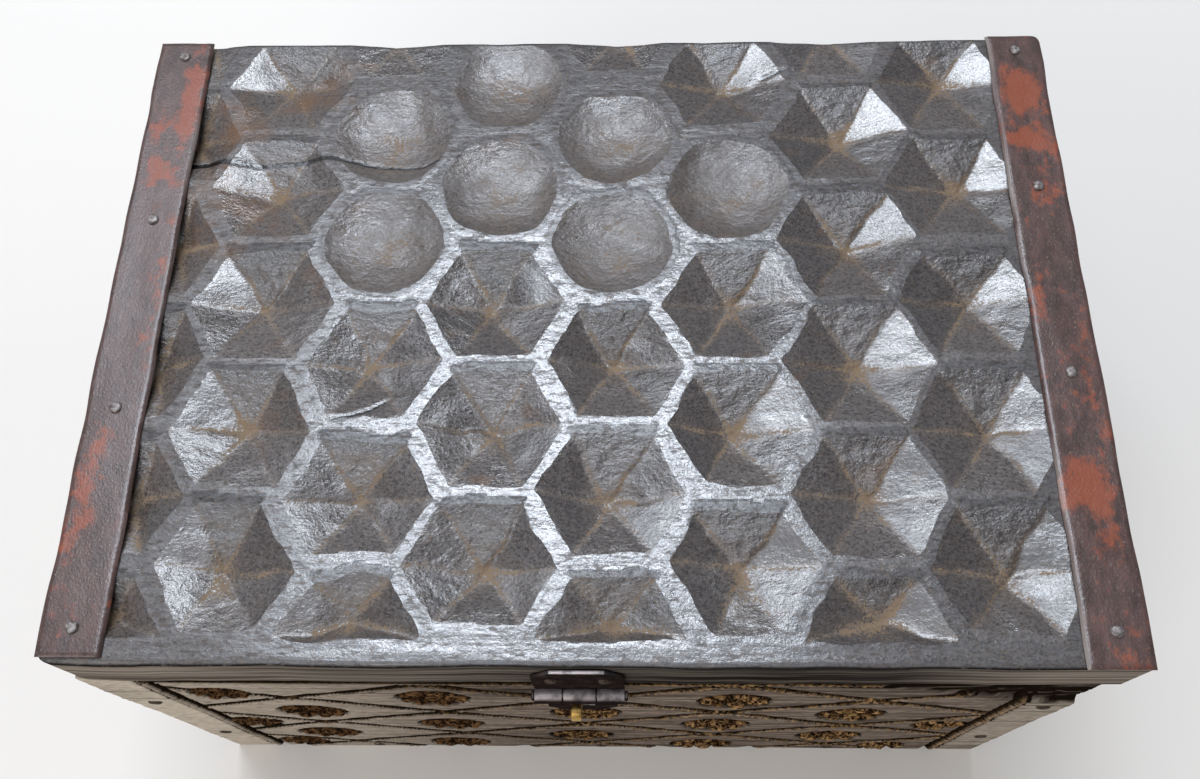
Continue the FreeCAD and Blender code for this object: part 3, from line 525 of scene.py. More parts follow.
class LidFinish(Finish):
    """Dark oiled wood, dusty in the valleys, pale on the rims from rubbing and a painted
    highlight, with painted light and shade on some facets, and bare on its sides.
    """

    def __init__(self, looks):
        super().__init__("carved_lid_wood")
        self.looks = looks
        self.grain = self.noise((110, 1000, 600), detail=5)
        self.crackle = self.noise((330, 900, 600), detail=5, roughness=0.65)
        self.fine = self.noise((900, 1200, 1200), detail=4, roughness=0.6)
        self.chips = self.noise((420, 620, 500), detail=4, roughness=0.6)
        self.patches = self.noise((60, 70, 60), detail=4, roughness=0.65)
        ragged = self.scaled(self.chips, 0.0, 1.0, -0.05, 0.05)
        gap = self.plus(self.scaled(self.mask("gap"), -1.0, 1.0), ragged, clamp=False)
        self.rim = self.scaled(gap, 0.485, 0.515)
        self.oiled = self.mask("oiled")
        self.worn = self.mask("worn")
        self.chipped = self.mask("chipped")
        self.dusty = self.dust_cover()
        self.dull = self.times(self.rim, self.scaled(self.worn, 0.1, 0.8, 1.0, 0.0))

    def dust_cover(self):
        """Where dust lies: heaped in the creases, thin on the facets, in specks all over."""
        flecks = self.noise((1300, 1500, 1500), detail=3, roughness=0.7)
        heaps = self.noise((110, 130, 120), detail=3)
        specks = self.noise((2400, 2600, 2600), detail=1)
        scatter = self.scaled(flecks, 0.2, 0.8, -2.2, 2.2)
        drift = self.plus(self.mask("dust"), scatter, clamp=False)
        drift = self.plus(drift, self.scaled(heaps, 0.3, 0.7, -1.1, 0.7), clamp=False)
        in_pit = self.scaled(self.rim, 1.0, 0.0)
        heaped = self.times(self.scaled(drift, -0.1, 0.6), in_pit)
        haze = self.times(self.scaled(drift, -2.6, 0.4, 0.0, 0.22), in_pit)
        return self.larger(self.larger(heaped, haze), self.scaled(specks, 0.63, 0.70, 0.0, 0.7))

    def carved_wood(self):
        """Colour of the carved face."""
        looks = self.looks
        mottle = self.scaled(self.chips, 0.35, 0.7, 0.0, 0.45)
        # the stored tone holds random tone, and also painted light and shade on facets, on bowls
        # and at the left end
        mottle = self.plus(self.times(self.mask("tone"), 0.6), mottle)
        wood = self.mix(mottle, looks.dark, looks.brown)
        wood = self.mix(self.scaled(self.fine, 0.54, 0.38, 0.0, 0.65), wood, looks.grime)
        warmth = self.scaled(self.patches, 0.35, 0.75, 0.0, 0.62)
        warmth = self.plus(self.times(self.mask("warm"), 0.42), warmth)
        wood = self.mix(self.scaled(warmth, 0.40, 0.75), wood, looks.warm)
        # pale rims in the middle: rubbing and a painted highlight
        worn = self.times(self.rim, self.scaled(self.worn, 0.0, 1.0, 0.25, 1.0))
        worn = self.times(worn, self.scaled(self.crackle, 0.38, 0.56))
        wood = self.mix(worn, wood, looks.worn)
        wood = self.mix(self.dusty, wood, looks.dust)
        # near-black inside the cracks: painted shade
        return self.mix(self.scaled(self.mask("crack"), -0.15, 0.1), wood, looks.crack)

    def side_wood(self):
        """Colour of the plank's sides, darker along the middle of the front."""
        looks = self.looks
        grain = self.noise((14, 240, 500), detail=5, roughness=0.6)
        wood = self.mix(self.scaled(grain, 0.36, 0.62), looks.side_dark, looks.side_pale)
        across = self.along("X")
        darker_patch = self.scaled(across, -0.12, 0.0, 0.0, 0.95)
        darker_patch = self.times(darker_patch, self.scaled(across, 0.125, 0.085))
        darker_patch = self.times(darker_patch, self.scaled(self.along("Y"), -0.099, -0.104))
        darker_patch = self.times(darker_patch, self.scaled(grain, 0.62, 0.42, 0.72, 1.0))
        return self.mix(darker_patch, wood, looks.grime)

    def wood(self):
        """Colour of the whole plank, with a dark line along its upper edges."""
        wood = self.carved_wood()
        wood = self.mix(self.scaled(self.oiled, 0.0, 0.5), self.side_wood(), wood)
        # a dark line along the upper edges: black grime and a painted shade line where the edge
        # turns down
        broken = self.scaled(self.chips, 0.30, 0.45, 0.5, 1.0)
        arris = self.times(self.scaled(self.mask("arris"), 0.2, 0.7), broken)
        return self.mix(arris, wood, self.looks.grime)

    def roughness(self):
        """Smooth oiled wood, duller in dust, on torn facets and on rims that nobody rubs."""
        gloss = self.scaled(self.fine, 0.3, 0.7, 0.11, 0.21)
        matt = self.scaled(self.patches, 0.40, 0.60, 0.20, 0.04)
        for more in (
            self.times(self.dusty, 0.5),
            self.scaled(self.oiled, 1.0, 0.0, 0.0, 0.45),
            self.times(self.chipped, 0.14),
            self.times(self.mask("matt"), matt),
            self.times(self.dull, self.scaled(self.grain, 0.35, 0.6, 0.30, 0.02)),
            self.times(self.rim, self.scaled(self.crackle, 0.48, 0.38, 0.0, 0.40)),
        ):
            gloss = self.plus(gloss, more)
        return gloss

    def shine(self):
        """Strength of the reflections."""
        shine = self.times(self.scaled(self.dusty, 0.0, 0.8, 0.78, 0.1), self.oiled)
        return self.times(shine, self.scaled(self.dull, 0.0, 1.0, 1.0, 0.42))

    def relief(self):
        """Streaks of the grain, torn chips and fine pores."""
        streaks = self.times(self.grain, self.scaled(self.rim, 0.0, 1.0, 0.14, 0.30))
        normal = self.bump(streaks, 0.35, 0.0005)
        normal = self.bump(self.times(self.chips, self.chipped), 0.8, 0.0011, normal)
        return self.bump(self.scaled(self.fine, 0.62, 0.42), 0.20, 0.00015, normal)


def lid_wood(looks):
    """The lid's dark oiled wood."""
    f = LidFinish(looks)
    return f.finish(
        Base_Color=f.wood(),
        Roughness=f.roughness(),
        Normal=f.relief(),
        IOR=1.75,
        Specular_IOR_Level=f.shine(),
    )


def front_wood(looks):
    """Bleached board with grime and painted shade in its cuts, and rubbed gilding on its flowers.
    """
    f = Finish("carved_front_wood")
    grain = f.noise((30, 300, 700), detail=5)
    fine = f.noise((260, 900, 1700), detail=3)
    flecks = f.noise((700, 700, 700), detail=2)
    wood = f.mix(f.scaled(grain, 0.32, 0.70), looks.brown, looks.grey)
    wood = f.mix(f.scaled(fine, 0.50, 0.68), wood, looks.brown)
    # paler at the ends, and on the left half as painted light
    pale = f.times(f.mask("pale"), f.scaled(fine, 0.70, 0.45, 0.3, 1.0))
    wood = f.mix(pale, wood, looks.pale)
    # near-black in the cuts, the flower beds and the broken corner: grime and painted shade
    wood = f.mix(f.scaled(f.mask("grime"), 0.10, 0.55), wood, looks.dark)
    wood = f.mix(f.times(f.mask("petal"), f.scaled(flecks, 0.40, 0.62)), wood, looks.red)
    wood = f.mix(f.times(f.mask("gilt"), f.scaled(flecks, 0.42, 0.58)), wood, looks.gilt)
    return f.finish(
        Base_Color=wood,
        Roughness=f.scaled(fine, 0.3, 0.7, 0.55, 0.75),
        Normal=f.bump(f.plus(f.times(grain, 0.5), f.times(fine, 0.5)), 0.5, 0.0005),
        Specular_IOR_Level=0.0,
    )


def plain_wood(looks):
    """Weathered plain boards."""
    f = Finish("plain_wood")
    grain = f.noise((30, 45, 620), detail=5, distortion=0.4)
    fine = f.noise((220, 260, 1900), detail=3)
    darker_patch = f.noise((14, 14, 16), detail=4)
    wood = f.mix(f.scaled(grain, 0.34, 0.68), looks.dark, looks.brown)
    wood = f.mix(f.times(f.scaled(darker_patch, 0.42, 0.7), 0.6), wood, looks.dark)
    return f.finish(
        Base_Color=wood,
        Roughness=f.scaled(fine, 0.3, 0.7, 0.48, 0.72),
        Normal=f.bump(f.plus(f.times(grain, 0.5), f.times(fine, 0.5)), 0.6, 0.0005),
    )


def strip_iron(looks):
    """Dark rusted strip with worn red paint."""
    f = Finish("strip_iron")
    scrape = f.noise((300, 120, 300), detail=5, roughness=0.7)
    blotch = f.noise((150, 110, 120), detail=6, roughness=0.7)
    fine = f.noise((1500, 1100, 1200), detail=3)
    base = f.mix(f.scaled(scrape, 0.35, 0.65), looks.bare, looks.rust)
    base = f.mix(f.scaled(fine, 0.62, 0.70, 0.0, 0.8), base, looks.specks)
    paint = f.plus(f.mask("paint"), f.scaled(blotch, 0.3, 0.7, -0.6, 0.6), clamp=False)
    base = f.mix(f.scaled(paint, 0.32, 0.68, 0.0, 0.85), base, looks.paint)
    # a pale line along the inner edge: bare iron and a painted highlight
    base = f.mix(f.scaled(f.mask("worn"), 0.82, 0.92, 0.0, 0.8), base, looks.strip_edge)
    return f.finish(
        Base_Color=base,
        Roughness=f.scaled(blotch, 0.3, 0.7, 0.22, 0.40),
        Normal=f.bump(f.plus(f.times(blotch, 0.6), f.times(fine, 0.4)), 0.45, 0.0005),
        Specular_IOR_Level=0.7,
    )


def hinge_iron(looks):
    """Black forged iron, rubbed and with a painted highlight where it faces up."""
    f = Finish("hinge_iron")
    blotch = f.noise((260, 260, 260), detail=5, roughness=0.6)
    fine = f.noise((1400, 1400, 1400), detail=3)
    # pale where the iron faces up: rubbing and a painted highlight
    rubbed = f.times(f.mask("rubbed"), f.scaled(blotch, 0.35, 0.55, 0.35, 1.0))
    base = f.mix(f.scaled(blotch, 0.50, 0.72), looks.black, looks.brown)
    dull = f.scaled(blotch, 0.3, 0.7, 0.52, 0.70)
    return f.finish(
        Base_Color=f.mix(rubbed, base, looks.rubbed),
        Roughness=f.math("SUBTRACT", dull, f.times(rubbed, 0.25)),
        Normal=f.bump(f.plus(f.times(blotch, 0.6), f.times(fine, 0.4)), 0.35, 0.0003),
        Metallic=f.times(rubbed, 0.4),
        Specular_IOR_Level=f.times(rubbed, 0.5),
    )


def nail_iron(looks):
    """Grey nail heads with dark dents, or rusty ones."""
    f = Finish("nail_iron")
    blotch = f.noise((700, 700, 700), detail=4)
    fine = f.noise((2500, 2500, 2500), detail=2)
    raised = f.scaled(blotch, 0.38, 0.62)
    rust = f.mask("rust")
    rubbed = f.mix(raised, looks.dents, looks.steel)
    rusty = f.mix(raised, looks.nail_black, looks.nail_rust)
    bright = f.scaled(rust, 0.0, 1.0, 0.45, 0.0)
    return f.finish(
        Base_Color=f.mix(rust, rubbed, rusty),
        Roughness=f.scaled(fine, 0.3, 0.7, 0.36, 0.56),
        Normal=f.bump(blotch, 0.45, 0.0004),
        Metallic=bright,
        Specular_IOR_Level=bright,
    )


def old_brass(looks):
    """Rubbed brass, dark in its pits."""
    f = Finish("brass")
    blotch = f.noise((500, 500, 500), detail=4)
    fine = f.noise((2200, 2200, 2200), detail=2)
    return f.finish(
        Base_Color=f.mix(f.scaled(blotch, 0.50, 0.75), looks.brass, looks.brass_dark),
        Roughness=f.scaled(fine, 0.3, 0.7, 0.26, 0.46),
        Normal=f.bump(fine, 0.25, 0.0002),
        Metallic=0.9,
    )


def pale_floor(looks):
    """Pale floor, paler towards the back and a little lifted for the camera."""
    f = Finish("pale_floor")
    cloud = f.noise((2.5, 2.5, 2.5), detail=3)
    shade = f.mix(f.scaled(cloud, 0.3, 0.7), [c * 0.97 for c in looks.floor], looks.floor)
    shade = f.mix(f.scaled(f.along("Y"), 0.05, 0.35), shade, looks.backdrop)
    seen = f.add("ShaderNodeLightPath").outputs
    lift = f.larger(seen["Is Camera Ray"], seen["Is Glossy Ray"])
    lift = f.larger(lift, seen["Is Transmission Ray"])
    return f.finish(
        Base_Color=shade,
        Roughness=f.scaled(cloud, 0.3, 0.7, 0.75, 0.9),
        Emission_Color=looks.floor,
        Emission_Strength=f.times(lift, looks.floor_lift),
    )


# Pits of the lid by column from the left and row from the back; sizes in millimetres
SIDE_ANGLES = np.radians([30, 90, 150, 210, 270, 330])
SIDE_X, SIDE_Y = np.cos(SIDE_ANGLES), np.sin(SIDE_ANGLES)
REAR, FRONT, RIGHT = 1, 4, 5  # sides of a pit at 90, 270 and 330 degrees
COLUMNS, ROWS = 8, 6
BOWLS = {(2, 1), (2, 2), (3, 0), (3, 1), (4, 1), (4, 2), (5, 1)}
BOWL_LEAN = -2.5  # where a bowl is deepest, from its middle
LID_LEVEL = -0.40  # level of the rims, from the top of the plank
LEAST_SIDE = 0.5  # a side nearer than this to the deepest place is left out
LEAST_PIT = 6  # a pit that reaches less far over the front margin is left out
LEFT_KEEP, RIGHT_KEEP, FRONT_KEEP = 6.5, 5.5, 5.5  # deepest place to the margins
CUT_SHORT = 0.85  # depth of a pit that a margin cuts short, of a whole one
PIT_REACH = 29, 27  # half the width and half the depth of the part round a pit
WOBBLE = 0.45  # unevenness of a pit's sides
RIM_MARKS = {"dust": -3.0, "chipped": 0.06, "tone": 0.4, "matt": 0.0}

# Cracks of the lid: places along each one, and its width, in millimetres
CRACKS = (
    (((-133, 57), (-122, 58), (-109, 57), (-88, 59), (-72, 57), (-56, 56), (-51, 58)), 1.0),
    (((-77, -33.5), (-72, -33), (-66, -31), (-61, -27.5)), 0.7),
    (((56, 91), (63, 93.5)), 0.7),
)
CRACK_DEPTH = 0.4

# Reddish places of the lid: middle, width and depth, in millimetres
WARM_PLACES = ((-112, 42, 16, 16), (-120, 72, 12, 20), (-88, 92, 9, 10), (-100, 84, 12, 8))


def lid_pits(looks, half_length, half_depth):
    """Every pit: its deepest place, its sides, its depth and whether it is a bowl."""
    dice = np.random.default_rng(21)
    end = half_length - looks.end_margin / MM
    front = -half_depth + looks.front_margin / MM
    row_step, column_step = looks.row_step / MM, looks.column_step / MM
    level = row_step / 2 - looks.level_rim / MM / 2
    slant = math.hypot(column_step, row_step / 2) / 2 - looks.slant_rim / MM / 2
    reach = np.array([slant, level, slant, slant, level, slant])
    pits = []
    for column in range(COLUMNS):
        x = looks.first_column / MM + column_step * column
        start = looks.odd_start if column % 2 else looks.even_start
        for row in range(ROWS):
            y = start / MM - row_step * row
            if y + level < front + LEAST_PIT:
                continue
            sides = reach + dice.normal(0, 0.75, 6)
            shift = dice.normal(0, 0.8, 2)
            deep_x = np.clip(x, -end + LEFT_KEEP, end - RIGHT_KEEP)
            deep = np.array([deep_x, max(y, front + FRONT_KEEP)])
            moved = deep - (x, y)
            bowl = (column, row) in BOWLS
            depth = (looks.bowl_depth if bowl else looks.star_depth) / MM + dice.normal(0, 0.3)
            if np.abs(moved).max() < 1:
                deep, moved = deep + shift, shift
            else:
                depth *= CUT_SHORT
            if y > half_depth:
                depth = looks.rear_depth / MM
            away = sides - moved[0] * SIDE_X - moved[1] * SIDE_Y
            margins = [(1, 0, end - deep[0]), (-1, 0, end + deep[0]), (0, -1, deep[1] - front)]
            pits.append((deep, away, margins, depth, bowl))
    return pits


def cut_bowl(dx, dy, radius, depth, side_share, torn, swell):
    """Floor and marks of a round hollow that leans to the front."""
    behind = dy - BOWL_LEAN
    away = np.hypot(dx, behind)
    outward = -BOWL_LEAN * behind / (away + TINY)
    reach = np.sqrt(outward**2 + radius**2 - BOWL_LEAN**2) + outward
    share = 0.75 * away / reach + 0.25 * side_share
    floor = LID_LEVEL - depth * (1 - np.clip(share, 0, 2) ** 2.3)
    floor += (0.05 * torn + 0.12 * swell) * step(1.0, 0.7, share)
    return floor, {
        "dust": 0.1 - 0.9 * np.hypot(dx / 12, (dy + 3) / 10),
        "chipped": 0.38,
        # the front half of a bowl is made lighter: painted light
        "tone": 0.40 + 0.25 * step(3, -8, dy),
        "matt": 1.0,
    }


def cut_star(x, radius, depth, shares, reach, kept, torn, ripple, dice):
    """Floor and marks of a pit whose flat facets meet in its middle."""
    ordered = np.sort(shares, -1)
    share = ordered[..., -1]
    crease = (share - ordered[..., -2]) * reach[kept].min()
    facet = kept[np.argmax(shares, -1)]
    steep = 1 + dice.normal(0, 0.07, len(reach))
    chipped = 0.12 + 0.25 * dice.random(len(reach)) ** 2
    chipped[REAR] = 0.7 + 0.5 * dice.random()
    tone = 0.65 * dice.random(len(reach))
    # the front facet is made lighter: painted light on the facets that face the window
    tone[FRONT] += 0.35
    matt = np.zeros(len(reach))
    matt[REAR] = 0.35
    matt[RIGHT] = 0.9 * step(20, 70, x)
    # a painted shadow on the rear facet just under the rim
    rim_shadow = np.where(facet == REAR, step(0.78, 0.94, share + 0.03 * torn), 0)
    dust = np.maximum(1.2 * (1 - share) - 1.7 * crease, 0.40 * (3.2 - radius))
    hewn = chipped[facet] * (torn + 0.5 * ripple)
    floor = LID_LEVEL - depth * steep[facet] * (1 - share)
    floor += 0.20 * hewn * np.clip(4 * (1 - share), 0, 1)
    floor += 0.15 * np.clip(dust, 0, 1)
    return floor, {
        "dust": dust,
        "chipped": chipped[facet],
        "tone": tone[facet] - 0.9 * rim_shadow,
        "matt": matt[facet],
    }


def cut_pit(board, pit, window, fields, dice):
    """Floor and marks of one pit, on the part of the board round it."""
    (x, y), away, margins, depth, bowl = pit
    torn, ripple, wobble_x, wobble_y = (field[window] for field in fields)
    dx = board.u[window] - x + WOBBLE * wobble_x
    dy = board.v[window] - y + WOBBLE * wobble_y
    margin_x, margin_y, margin_reach = zip(*margins)
    side_x = np.concatenate([SIDE_X, margin_x])
    side_y = np.concatenate([SIDE_Y, margin_y])
    reach = np.concatenate([away, margin_reach])
    kept = np.flatnonzero(reach > LEAST_SIDE)
    shares = (dx[..., None] * side_x[kept] + dy[..., None] * side_y[kept]) / reach[kept]
    if bowl:
        return cut_bowl(dx, dy, away.mean(), depth, shares.max(-1), torn, wobble_x)
    radius = np.hypot(dx, dy)
    return cut_star(x, radius, depth, shares, reach, kept, torn, ripple, dice)


def cut_pits(board, pits, top, fields):
    """How far the floors of all pits lie under the rims' level, and what marks the face."""
    gap = np.full(top.shape, 1.0)
    marks = {name: np.full(top.shape, plain) for name, plain in RIM_MARKS.items()}
    dice = np.random.default_rng(8)
    for pit in pits:
        x, y = pit[0]
        near_x = np.abs(board.columns - x) < PIT_REACH[0]
        near_y = np.abs(board.rows - y) < PIT_REACH[1]
        window = np.ix_(near_y, near_x)
        floor, found = cut_pit(board, pit, window, fields, dice)
        under = floor - top[window]
        lower = under < gap[window]
        gap[window] = np.where(lower, under, gap[window])
        for name, values in found.items():
            marks[name][window] = np.where(lower, values, marks[name][window])
    return gap, marks


def lid_cracks(board, swell, grain):
    """How far a place lies inside a crack."""
    crack = np.full(board.u.shape, -2.0)
    for points, width in CRACKS:
        away, share = along_line(board.u, board.v + 0.2 * swell, points)
        opening = width * (1.05 - 0.7 * share) + 0.08 * grain.clip(-1, 1) - away
        crack = np.maximum(crack, opening)
    return crack


def carve_lid(board, looks):
    """The lid's face: rims, six-sided pits, bowls, cracks and wear."""
    half_length, half_depth = board.size[0] / 2, board.size[1] / 2
    grain = board.noise(7, 0.7, 1)
    swell = board.noise(16, 12, 2)
    torn = board.noise(1.3, 1.0, 3)
    ripple = board.noise(3.5, 1.0, 4)
    fields = torn, ripple, board.noise(3.2, 3.2, 5), board.noise(3.2, 3.2, 6)
    top = LID_LEVEL + 0.04 * grain + 0.10 * swell + 0.02 * torn
    top -= (0.35 + 0.10 * np.clip(swell, 0, 3)) * step(1.6, 0, board.v + half_depth)
    pits = lid_pits(looks, half_length, half_depth)
    board.follow(cut_pits(board, pits, top, fields)[0])
    gap, marks = cut_pits(board, pits, top, fields)
    height = top + np.minimum(gap, 0)
    near_rim = np.exp(-((gap / 0.25) ** 2))
    height = near_rim * height + (1 - near_rim) * soften(height)
    # the middle rims, where the window's reflection falls, are paler: rubbing and a painted
    # highlight
    rubbed = step(-112, -52, board.u) * step(80, 45, board.u) * step(78, 12, board.v)
    rubbed *= 0.6 + 0.4 * step(2, 10, board.v + half_depth)
    crack = lid_cracks(board, swell, grain)
    board.height = np.minimum(height - CRACK_DEPTH * step(-0.6, 0.1, crack), CARVED_TOP)
    board.masks = {
        "gap": np.clip(gap, -1, 1),
        "dust": np.clip(marks["dust"], -3, 3),
        "chipped": soften(marks["chipped"]),
        # lighter towards the left end: painted light
        "tone": marks["tone"] + 0.35 * step(-30, -110, board.u),
        "matt": soften(marks["matt"]),
        "worn": 0.1 + 0.9 * rubbed,
        "warm": np.max([board.spot(*spot) for spot in WARM_PLACES], axis=0),
        "crack": crack,
        "oiled": step(0.0, 1.0, board.edge_distance()),
        "arris": step(0.9, 0.3, board.edge_distance()),
    }


# Flowers of the front as the carver set them: place along, height and radius, in millimetres
FLOWERS = (
    ((-115.5, 128.5, 9.5), (-50.5, 121, 11.7), (44, 117.5, 11.5))
    + ((-95.5, 92.5, 11.5), (-3.5, 92.5, 11.7), (85, 91.5, 11.5))
    + ((-122, 68, 9.3), (-52.5, 65, 11.5), (41.5, 66, 12), (120, 68.5, 9.5))
    + ((-102, 40, 11.7), (-7, 37, 12), (86, 38, 12))
    + ((-118.5, 15.5, 9.5), (-56, 13.5, 11.8), (39.5, 12.5, 12), (111, 11, 9.3))
)
HALF_PETALS = 4.5  # half the number of petals in a ring
FLOWER_STRETCH = 1.12  # height of a flower, of its width

# The two grooves beside each cord: offset, half width, depth in millimetres, and darkness, which
# stands for grime and painted shade
GROOVES = ((2.4, 1.4, 1.3, 1.3), (-1.7, 0.55, 0.8, 0.9))
CORD_HALF_WIDTH = 0.85
CORD_TURN = 2.5  # millimetres from one strand of the cord to the next
FRONT_LEVEL = -0.65  # level of the front's face, from the outside of the board
FRONT_DEEPEST = -6.0


def flower(x, z, size, chips):
    """How high a flower's petals and boss rise in its bed, and the bed itself, from 0 to 1."""
    radius = np.hypot(x, z / FLOWER_STRETCH) / size
    turn = HALF_PETALS * np.arctan2(z, x)
    bed = step(1.06, 0.97, radius)
    outer = np.abs(np.cos(turn)) ** 0.5 * step(0.56, 0.66, radius) * step(1.0, 0.88, radius)
    inner = np.abs(np.sin(turn)) ** 0.5 * step(0.30, 0.38, radius) * step(0.62, 0.54, radius)
    boss = np.exp(-(((radius - 0.17) / 0.08) ** 2))
    rise = np.maximum(np.maximum(outer, 0.9 * inner), boss)
    return np.clip(rise + 0.12 * chips * rise, 0, 1), bed


def front_lines(x, z, swell, looks):
    """Each carved line: distance above it, place along it and where it runs."""
    half_w, half_h = looks.half_width / MM, looks.half_height / MM
    border, top = looks.border / MM, looks.top_line / MM
    field = step(border - 1.5, border - 2.5, np.abs(x)) * step(top - 1.8, top - 2.8, z)
    a, b = (x - looks.lattice_x / MM) / half_w, (z - looks.lattice_z / MM) / half_h
    pitch = half_w * half_h / math.hypot(half_w, half_h)
    for side in (1, -1):
        above = ((a + side * b) % 2 - 1) * pitch * side
        yield above + 0.3 * swell, (a - side * b) * pitch, field
    yield border - np.abs(x), z, step(-2, 0, z) * step(top + 2, top, z)
    yield z - top, x, step(border + 1, border, np.abs(x))


def cut_line(face, above, along, runs):
    """Two grooves with a twisted cord left standing between them."""
    for offset, wide, deep, dark in GROOVES:
        cut = np.exp(-(((above - offset) / wide) ** 4)) * runs
        face["height"] -= deep * cut
        face["grime"] += dark * cut
    cord = np.exp(-(((above + 0.2) / CORD_HALF_WIDTH) ** 4)) * runs
    twist = 0.5 + 0.5 * np.cos(2 * math.pi * (along + 0.6 * above) / CORD_TURN)
    # a painted shadow on the strip between the cord and the upper groove
    cord_shadow = step(0.6, 1.0, above) * step(2.0, 1.0, above) * runs
    face["height"] += (0.45 - 0.35 * twist) * cord
    # darker between the strands, and the painted shadow beside the cord
    face["grime"] += 0.22 * cord * twist + 0.9 * cord_shadow
    face["gilt"] += 0.7 * cord * (1 - 0.6 * twist)


def sink_flower(face, depth, rise, bed):
    """A flower in its bed, below the face of the board."""
    face["height"] += bed * (0.1 - depth * (1 - rise) - 0.25 * rise - face["height"])
    # the bed darkens away from the raised petals: grime and painted shade
    face["grime"] += bed * (np.clip(1.25 - 0.65 * rise, 0, 1) - face["grime"])
    face["gilt"] += bed * (np.clip(2.8 * rise - 1.9, 0, 1) - face["gilt"])
    face["petal"] = np.maximum(face["petal"], bed * np.clip(2.0 * rise - 0.6, 0, 1))


def carve_front(board, looks):
    """The front board's face: border, lattice of corded lines and flowers in sunk beds."""
    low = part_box("front_panel")[0].z / MM
    x, z = board.u, board.v + board.size[1] / 2 + low
    grain = board.noise(14, 0.8, 1)
    swell = board.noise(18, 12, 2)
    chips = board.noise(1.4, 1.1, 3)
    face = {
        "height": FRONT_LEVEL + 0.06 * grain + 0.06 * swell,
        "grime": 0.10 * np.clip(swell, 0, 2) + 0.12 * np.clip(grain - 0.8, 0, 1),
        "gilt": np.zeros(x.shape),
        "petal": np.zeros(x.shape),
    }
    for line in front_lines(x, z, swell, looks):
        cut_line(face, *line)
    for middle_x, middle_z, size in FLOWERS:
        rise, bed = flower(x - middle_x, z - middle_z, size, chips)
        sink_flower(face, looks.flower_depth / MM, rise, bed)
    shade = 0.26 * step(112, 150, z) + 0.12 * np.clip(grain, 0, 1.5)
    face["grime"] += shade * step(-100, 20, x)
    chip = np.clip((x - looks.broken_start / MM) / (looks.broken_length / MM), 0, 1)
    foot = looks.top_edge / MM - looks.broken_height / MM * chip
    broken = step(0.0, 2.5, z - foot + 1.2 * swell) * step(0.0, 0.05, chip)
    face["height"] -= (looks.broken_depth / MM * chip + 0.4 * chips.clip(0, 2)) * broken
    # the broken corner is dark: painted shade under the lid's edge, varied along the grain
    break_shade = (0.54 + 0.25 * np.clip(grain, -0.6, 1)) * broken
    face["grime"] = np.maximum(face["grime"], break_shade)
    face["gilt"] *= (1 - broken) * (0.25 + 0.75 * step(-70, 40, x))
    border = looks.border / MM
    # paler on the left half as painted light, and at the ends beyond the border
    lit_and_scoured = 0.55 * step(-15, -115, x) + 0.55 * step(border + 1, border + 4, np.abs(x))
    face["pale"] = lit_and_scoured * (1 - broken)
    board.height = np.clip(face.pop("height"), FRONT_DEEPEST, CARVED_TOP)
    board.masks = {name: np.clip(values, 0, 1) for name, values in face.items()}


# Red paint left on the strips: middle, half width, half length in millimetres, and strength
STRIP_PAINT = {
    "left_edge_strip": (
        (5, 78, 3, 22, 0.8),
        (-3, 55, 4, 16, 0.5),
        (6, 15, 3, 30, 0.3),
        (-4, -52, 5, 14, 0.6),
        (-5, -72, 4, 10, 0.4),
    ),
    "right_edge_strip": (
        (-1, 83, 6, 11, 1.1),
        (-2, 64, 7, 5, 1.0),
        (2, 48, 6, 8, 0.5),
        (-5, 10, 3, 12, 0.5),
        (-1, -55, 6, 9, 1.1),
        (3, -72, 5, 6, 0.8),
        (5, -20, 3, 20, 0.4),
    ),
}
STRIP_LEVEL = -0.16  # level of a strip's face, from the top of its box
STRIP_DEEPEST = -0.95
STRIP_BEND = 1.6  # width of the inner edge that is beaten down


def hammer_strip(board, looks):
    """A strip of hand-beaten iron with paint left on it."""
    left = board.node.startswith("left")
    dents = board.noise(5, 7, 1)
    ripple = board.noise(2.5, 14, 2)
    from_inner = board.size[0] / 2 - (board.u if left else -board.u)
    drop = np.clip(1 - from_inner / STRIP_BEND, 0, 1) ** 2
    beaten = 0.06 * dents.clip(-2, 1.5) + 0.04 * ripple.clip(-2, 1.5)
    board.height = STRIP_LEVEL + beaten - 0.45 * drop
    board.round_edges(looks.strip_round / MM)
    board.height = np.clip(board.height, STRIP_DEEPEST, 0)
    paint = 0.10 * np.clip(dents, 0, 1)
    for *spot, strength in STRIP_PAINT[board.node]:
        paint = paint + strength * board.spot(*spot)
    # where the pale line runs along the inner edge: bare iron and a painted highlight
    worn = 1 - np.abs(from_inner - 0.4) / 2 + 0.10 * ripple - (0.15 if left else 0.0)
    board.masks = {"paint": np.clip(paint, 0, 1), "worn": worn}


def solids_of(node):
    """The separate solids in a CAD node, each as its points."""
    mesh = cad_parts[node].data
    points = np.array([v.co for v in mesh.vertices])
    places, welded = np.unique(np.round(points, 6), axis=0, return_inverse=True)
    group = np.arange(len(places))
    edges = welded.ravel()[np.array([e.vertices[:] for e in mesh.edges])]
    while True:
        lowest = np.minimum(group[edges[:, 0]], group[edges[:, 1]])
        fresh = group.copy()
        np.minimum.at(fresh, edges[:, 0], lowest)
        np.minimum.at(fresh, edges[:, 1], lowest)
        if np.array_equal(fresh, group):
            return [places[group == number] for number in np.unique(group)]
        group = fresh


# Rings of a nail's head: radius and height, as shares of the head's own
NAIL_HEAD = ((0.45, 0.96), (0.76, 0.90), (0.94, 0.60), (1.0, 0.06), (0.94, -0.06), (0.46, -0.10))
NAIL_SIDES = 20
NAIL_CROWN = 0.97  # height of the middle of the head
NAIL_TAPER = 0.42, 0.25  # radius of the shank where it starts to taper, and where that is
NAIL_TIP = 0.06  # radius of the tip


